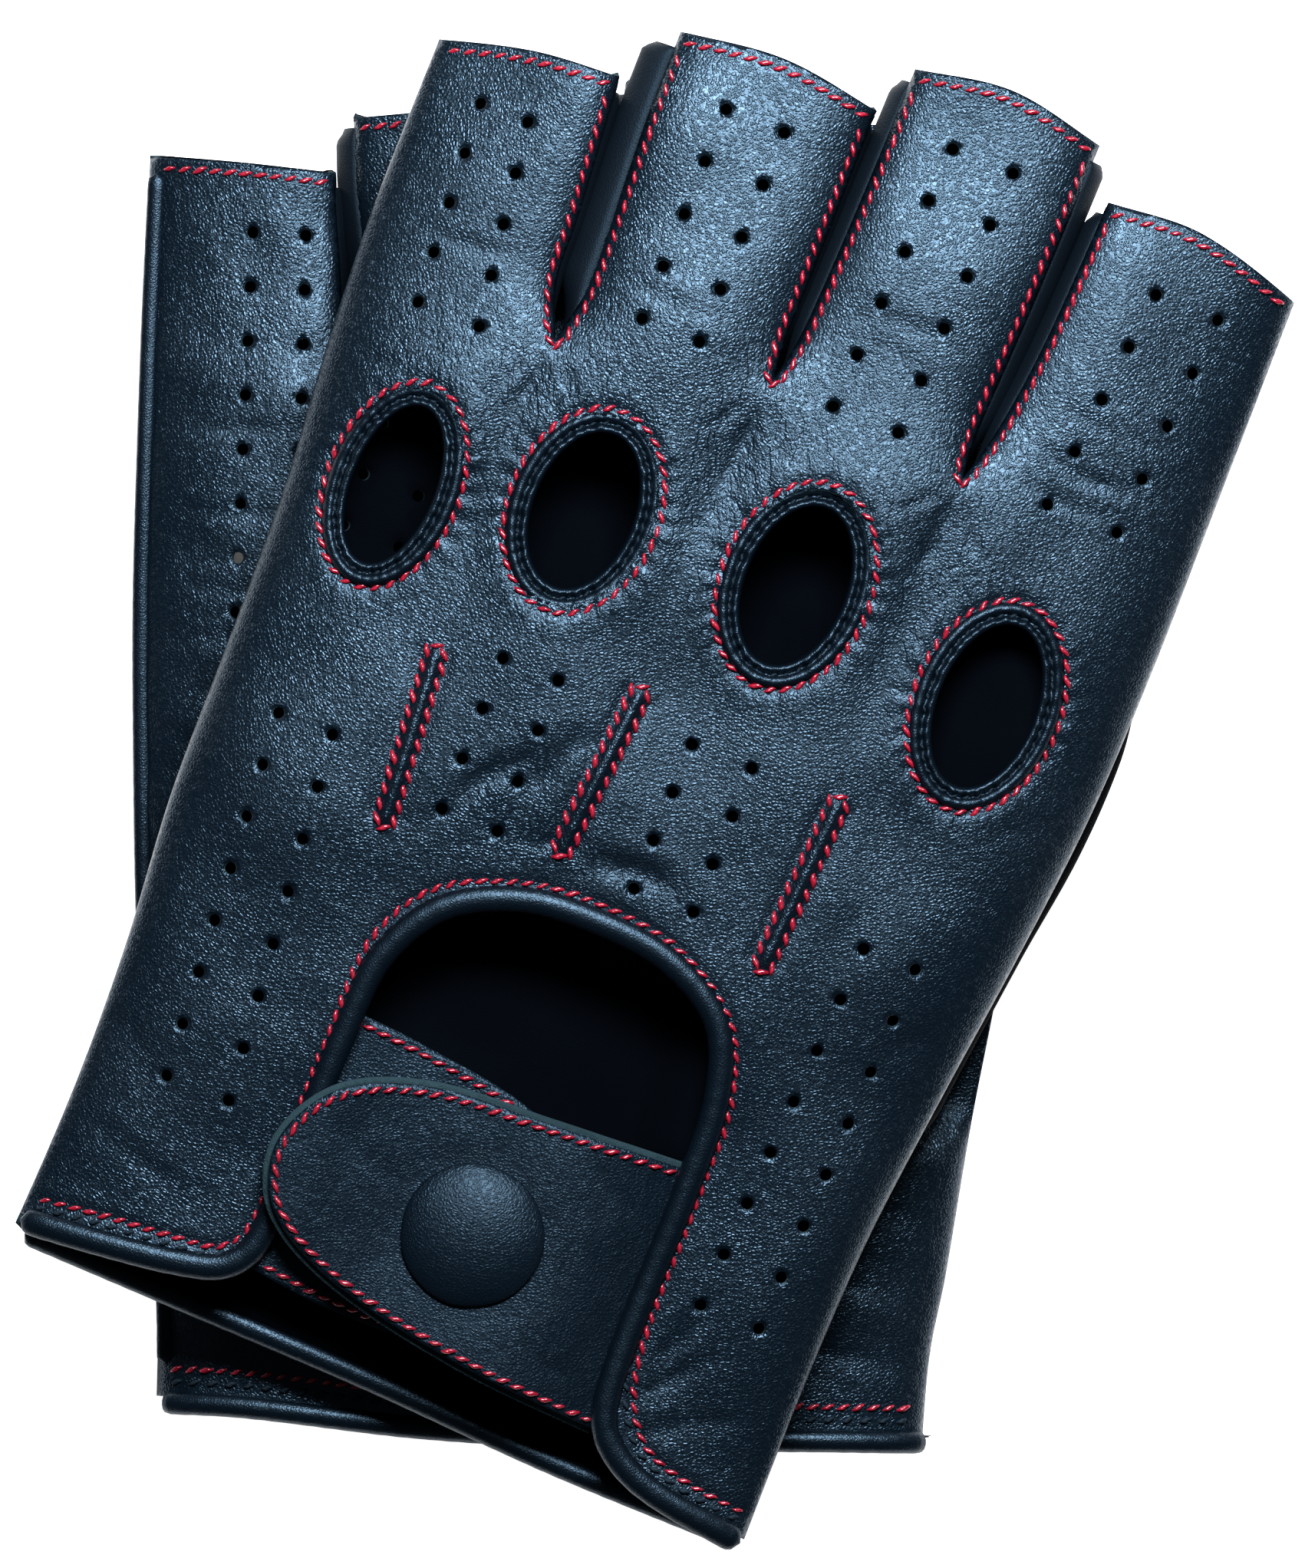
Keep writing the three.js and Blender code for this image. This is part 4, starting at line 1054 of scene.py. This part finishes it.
def thumb(side):
    """The thumb: a flattened tube with a round closed root and an open cut end."""
    rows = np.concatenate([np.linspace(0, 0.05, 5), np.linspace(0.07, 0.2, 8), np.linspace(0.23, 1, 44)])
    y = -THUMB_ROOT_RADIUS + 0.02 + rows * (THUMB_LONG + THUMB_ROOT_RADIUS)
    root = np.sqrt(np.clip(THUMB_ROOT_RADIUS**2 - y * y, 0.01, None))
    half = np.where(y < 0, root, cubic(THUMB_HALF_WIDTH, y))
    tall = THUMB_THICK / 2 * np.where(y < 0, np.sqrt(np.clip(1 - (y / THUMB_ROOT_RADIUS) ** 4, 0.01, 1)), 1)
    angle = np.linspace(0, 2 * math.pi, 72, endpoint=False)
    across = np.sign(np.cos(angle)) * np.abs(np.cos(angle)) ** 0.5
    up = np.sign(np.sin(angle)) * np.abs(np.sin(angle)) ** 0.8
    px = THUMB_AT[0] + cubic(THUMB_MIDDLE, y)[:, None] - half[:, None] * across
    py = THUMB_AT[1] + y[:, None] + 0 * across
    pz = THUMB_TOP - THUMB_THICK / 2 + tall[:, None] * up
    pz = pz + 0.5 * undulation(px, py, 12, 16, 0.12) * np.abs(up)
    points = np.stack([px, py, pz], axis=-1).reshape(-1, 3)
    return mesh_piece(f"{side}_thumb_leather", side, points, grid_faces(len(y), 72, wrap=True)[:, ::-1],
                      SHEET_MATERIALS, thick=THUMB_LEATHER)


def red_lines(shape):
    """Plan lines of the red top stitching on the back."""
    lines = [within_sides(shape, smooth_line(RED_WRIST_LINE, 0.4), 1.0)]
    for finger in FINGERS:
        end = clipped_end(shape, finger, 0)
        lines.append(end[1:-1] - (0, END_ROW_INSET))
    for name in shape["slots"]:
        down, up = slot_lines(shape, name, 0.4)
        low, high = name.split("_")[1], name.split("_")[0]
        low_top = shape["ends"][low][-1][1] - 2.6
        high_top = shape["ends"][high][0][1] - 2.6
        whole = np.concatenate([down[::-1][down[::-1, 1] < low_top], up[1:][up[1:, 1] < high_top]])
        lines.append(even(offset(whole, -1.0), 0.4))
    return lines


def point_lines():
    """Closed loops of red stitching round the three points."""
    loops = []
    for top, bottom in POINTS:
        row = smooth_line([top, bottom], 0.4)
        left, right = (offset(row, away) for away in (-POINT_ROW_APART / 2, POINT_ROW_APART / 2))
        loops.append(even(np.concatenate([left, right[::-1]]), 0.4))
    return loops


def within_sides(shape, line, margin):
    """The part of a plan line at least margin inside the hand's two sides."""
    left = cubic(shape["little_side"], line[:, 1]) + margin
    right = cubic(shape["thumb_side"], line[:, 1]) - margin
    return line[(line[:, 0] > left) & (line[:, 0] < right)]


def hand_stitching(side):
    shape = SHAPES[side]

    def back(x, y):
        return hand_surface(shape, x, y, True) + back_relief(x, y)

    def palm(x, y):
        return -(hand_surface(shape, x, y, False) - palm_relief(x, y))

    def groove(x, y):
        return hand_surface(shape, x, y, True) - 0.3

    rings, grooves = ([oval(x, y, wide + out, tall + out, 120) for x, y, wide, tall in KNUCKLES.values()]
                      for out in (RING_RED_OFFSET, RING_GROOVE))
    red = joined([
        stitches(red_lines(shape), back, seed=2),
        stitches(rings, back, closed=True, seed=3),
        stitches(point_lines(), back, closed=True, seed=10, **POINT_STITCH),
    ])
    black_wrist = within_sides(shape, offset(smooth_line(RED_WRIST_LINE, 0.4), -1.05), 1.0)
    black = joined([
        stitches([black_wrist], lambda x, y: back(x, y) - 0.1, seed=4, **HEM_STITCH),
        stitches(grooves, groove, closed=True, seed=5, **GROOVE_STITCH),
    ])
    palm_red = smooth_line(shape["palm_hem"], 0.4) + (0, 4.3)
    palm_red = within_sides(shape, palm_red, 1.4)
    ends = [clipped_end(shape, finger, PALM_TIP_SHORTER)[1:-1] - (0, END_ROW_INSET) for finger in FINGERS]
    under_red = stitches([palm_red] + ends, palm, seed=6)
    under_black = stitches([palm_red - (0, 1.6)], palm, seed=7, **HEM_STITCH)
    pieces = []
    for name, upper, under, material in (("red_stitching", red, under_red, RED_THREAD),
                                         ("black_stitching", black, under_black, BLACK_THREAD)):
        mirrored = (under[0] * (1, 1, -1), under[1][:, ::-1])
        points, faces = joined([upper, mirrored])
        pieces.append(mesh_piece(f"{side}_{name}", side, points, faces, (material,)))
    return pieces


def build_glove(side):
    hand = f"{side}_hand"
    strap_body = f"{side}_strap"
    leather_piece = hand_leather(side)
    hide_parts(f"{side}_back_panel", f"{side}_palm_panel")
    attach(leather_piece, hand)
    for name in SLOTS:
        piece = fourchette(side, name)
        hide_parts(f"{side}_fourchette_{name}")
        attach(piece, hand)
    for name in KNUCKLES:
        piece = knuckle_ring(side, name)
        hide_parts(f"{side}_knuckle_ring_{name}")
        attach(piece, hand)
    for piece, node in ((piping(side), "window_binding"), (palm_piping(side), "palm_binding")):
        piece.name = f"{side}_{node}_leather"
        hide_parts(f"{side}_{node}")
        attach(piece, hand)
    for piece in [side_seam(side)] + hand_stitching(side):
        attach(piece, hand)
    tab_line = smooth_line(TAB_TOP + TAB_BOTTOM[1:], 0.5)
    tab = plate(f"{side}_stud_tab_leather", side, tab_line, tab_height, 0, STRAP_MATERIALS, TAB_LEATHER)
    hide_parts(f"{side}_stud_tab")
    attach(tab, hand)
    tab_row = offset(tab_line, -1.1)
    tab_stitches = stitches([tab_row[tab_row[:, 0] > -19]], tab_height, seed=8)
    tab_red = mesh_piece(f"{side}_tab_stitching", side, *tab_stitches, (RED_THREAD,))
    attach(tab_red, hand)
    strap = plate(f"{side}_strap_leather", side, strap_outline(0.2), strap_height, 0, STRAP_MATERIALS,
                  LEATHER)
    add_creasing(strap, 0.45)
    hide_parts(f"{side}_strap")
    lining = plate(f"{side}_strap_lining_leather", side, strap_outline(-0.55), strap_height, LEATHER + 0.02,
                   (CUT_EDGE, SUEDE_WITH_PAINTED_SHADE, CUT_EDGE), LINING)
    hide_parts(f"{side}_strap_lining")
    strap_stitches = stitches([strap_outline(1.05)], strap_height, seed=9)
    strap_red = mesh_piece(f"{side}_strap_stitching", side, *strap_stitches, (RED_THREAD,))
    for piece in (strap, lining, strap_red):
        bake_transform(piece)
    cap = snap_cap(side)
    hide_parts(f"{side}_snap_cap")
    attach(cap, strap_body)
    thumb_piece = thumb(side)
    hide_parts(f"{side}_thumb")
    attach(thumb_piece, f"{side}_thumb")
    for node in ("snap_socket", "snap_stud", "snap_post"):
        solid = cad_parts[f"{side}_{node}"]
        for index in range(len(solid.material_slots)):
            solid.material_slots[index].material = NICKEL


for glove_side in ("right", "left"):
    build_glove(glove_side)


# ---- stage -----------------------------------------------------------------------------------------

def area_light(name, size, power, place, aim=(0, 0, 0.02)):
    light = bpy.data.lights.new(name, "AREA")
    light.shape = "RECTANGLE"
    light.size, light.size_y = size
    light.energy = power
    holder = bpy.data.objects.new(name, light)
    holder.location = place
    direction = np.subtract(place, aim)
    yaw = math.atan2(direction[0], -direction[1])
    pitch = math.atan2(math.hypot(direction[0], direction[1]), direction[2])
    holder.rotation_euler = (pitch, 0, yaw)
    bpy.context.scene.collection.objects.link(holder)


FLOOR_REACH = 3.0      # half width of the floor and of its finely divided middle, in metres
FLOOR_NEAR = 0.13
FLOOR_CELLS = 104
FLOOR_PAINTED_LIGHT = 1.0       # painted light: the glow of the table outside the gloves, as the camera sees it
# painted light the floor's glow sheds on the gloves, for every ray but the camera's
FLOOR_PAINTED_LIGHT_BOUNCED = 0.3
WORLD_LIGHT = 0.035


def floor_painted_light(x, y):
    """Floor's painted light: 1 on the open table, washing out the gloves' cast shadows, falling to 0 under
    the gloves, at points in millimetres of the shared frame.
    """
    glow = np.ones(np.shape(x))
    for side, place in PLACES.items():
        turn = math.radians(place["turn"])
        dx, dy = x - place["x"], y - place["y"]
        own_x = dx * math.cos(turn) + dy * math.sin(turn)
        own_y = dy * math.cos(turn) - dx * math.sin(turn)
        under = 1 - ramp(0.86, 0.98, across_hand(SHAPES[side], own_x, own_y))
        under *= ramp(5, 14, own_y) * (1 - ramp(146, 158, own_y))
        glow *= 1 - under
    return glow


def build_stage():
    floor_mesh = bpy.data.meshes.new("floor")
    middle = np.linspace(-FLOOR_NEAR, FLOOR_NEAR, FLOOR_CELLS + 1)
    steps = np.concatenate([[-FLOOR_REACH], middle, [FLOOR_REACH]])
    xs, ys = (grid.ravel() for grid in np.meshgrid(steps, steps))
    points = np.column_stack([xs, ys, np.zeros(len(xs))])
    floor_mesh.from_pydata(points.tolist(), [], grid_faces(len(steps), len(steps)).tolist())
    attribute = floor_mesh.attributes.new("glow", "FLOAT", "POINT")
    attribute.data.foreach_set("value", floor_painted_light(xs / MM, ys / MM).astype(np.float32))
    floor = bpy.data.objects.new("floor", floor_mesh)
    bpy.context.scene.collection.objects.link(floor)
    paper_with_painted_light, nodes, links, shader = new_material("white_paper_painted_light")
    shader.inputs["Base Color"].default_value = (0.95, 0.95, 0.95, 1)
    shader.inputs["Roughness"].default_value = 0.9
    shader.inputs["Specular IOR Level"].default_value = 0.1
    # Painted light: the floor glows white outside the gloves so that their cast shadows wash out; camera rays
    # see the full glow, other rays a share of it.
    painted_light_share = nodes.new("ShaderNodeAttribute")
    painted_light_share.attribute_name = "glow"
    camera_ray = nodes.new("ShaderNodeLightPath").outputs["Is Camera Ray"]
    seen = range_node(nodes, links, camera_ray, 0.0, 1.0, FLOOR_PAINTED_LIGHT_BOUNCED, FLOOR_PAINTED_LIGHT)
    strength = math_node(nodes, links, "MULTIPLY", seen, painted_light_share.outputs["Fac"])
    links.new(strength, shader.inputs["Emission Strength"])
    shader.inputs["Emission Color"].default_value = (1, 1, 1, 1)
    floor_mesh.materials.append(paper_with_painted_light)
    world = bpy.data.worlds.new("studio")
    world.use_nodes = True
    background = world.node_tree.nodes["Background"]
    background.inputs["Color"].default_value = (1, 1, 1, 1)
    background.inputs["Strength"].default_value = WORLD_LIGHT
    bpy.context.scene.world = world
    area_light("finger_end_softbox", (0.24, 0.14), 8.8, (0.05, 0.28, 0.50), (0.02, 0.05, 0.02))
    bpy.context.scene.view_settings.view_transform = "Standard"


FRAME_HEIGHT = 196.5   # millimetres seen from top to bottom of the picture, at the height MEASURED_AT
MEASURED_AT = 28
CAMERA_UP = 2.0        # metres
SENSOR = 36
LOOK_AT = (-0.46, 0.52)


def build_camera():
    camera_data = bpy.data.cameras.new("camera")
    camera_data.lens = SENSOR * (CAMERA_UP / MM - MEASURED_AT) / FRAME_HEIGHT
    camera_data.clip_end = 20
    camera = bpy.data.objects.new("camera", camera_data)
    camera.location = (LOOK_AT[0] * MM, LOOK_AT[1] * MM, CAMERA_UP)
    bpy.context.scene.collection.objects.link(camera)
    bpy.context.scene.camera = camera


build_stage()
build_camera()
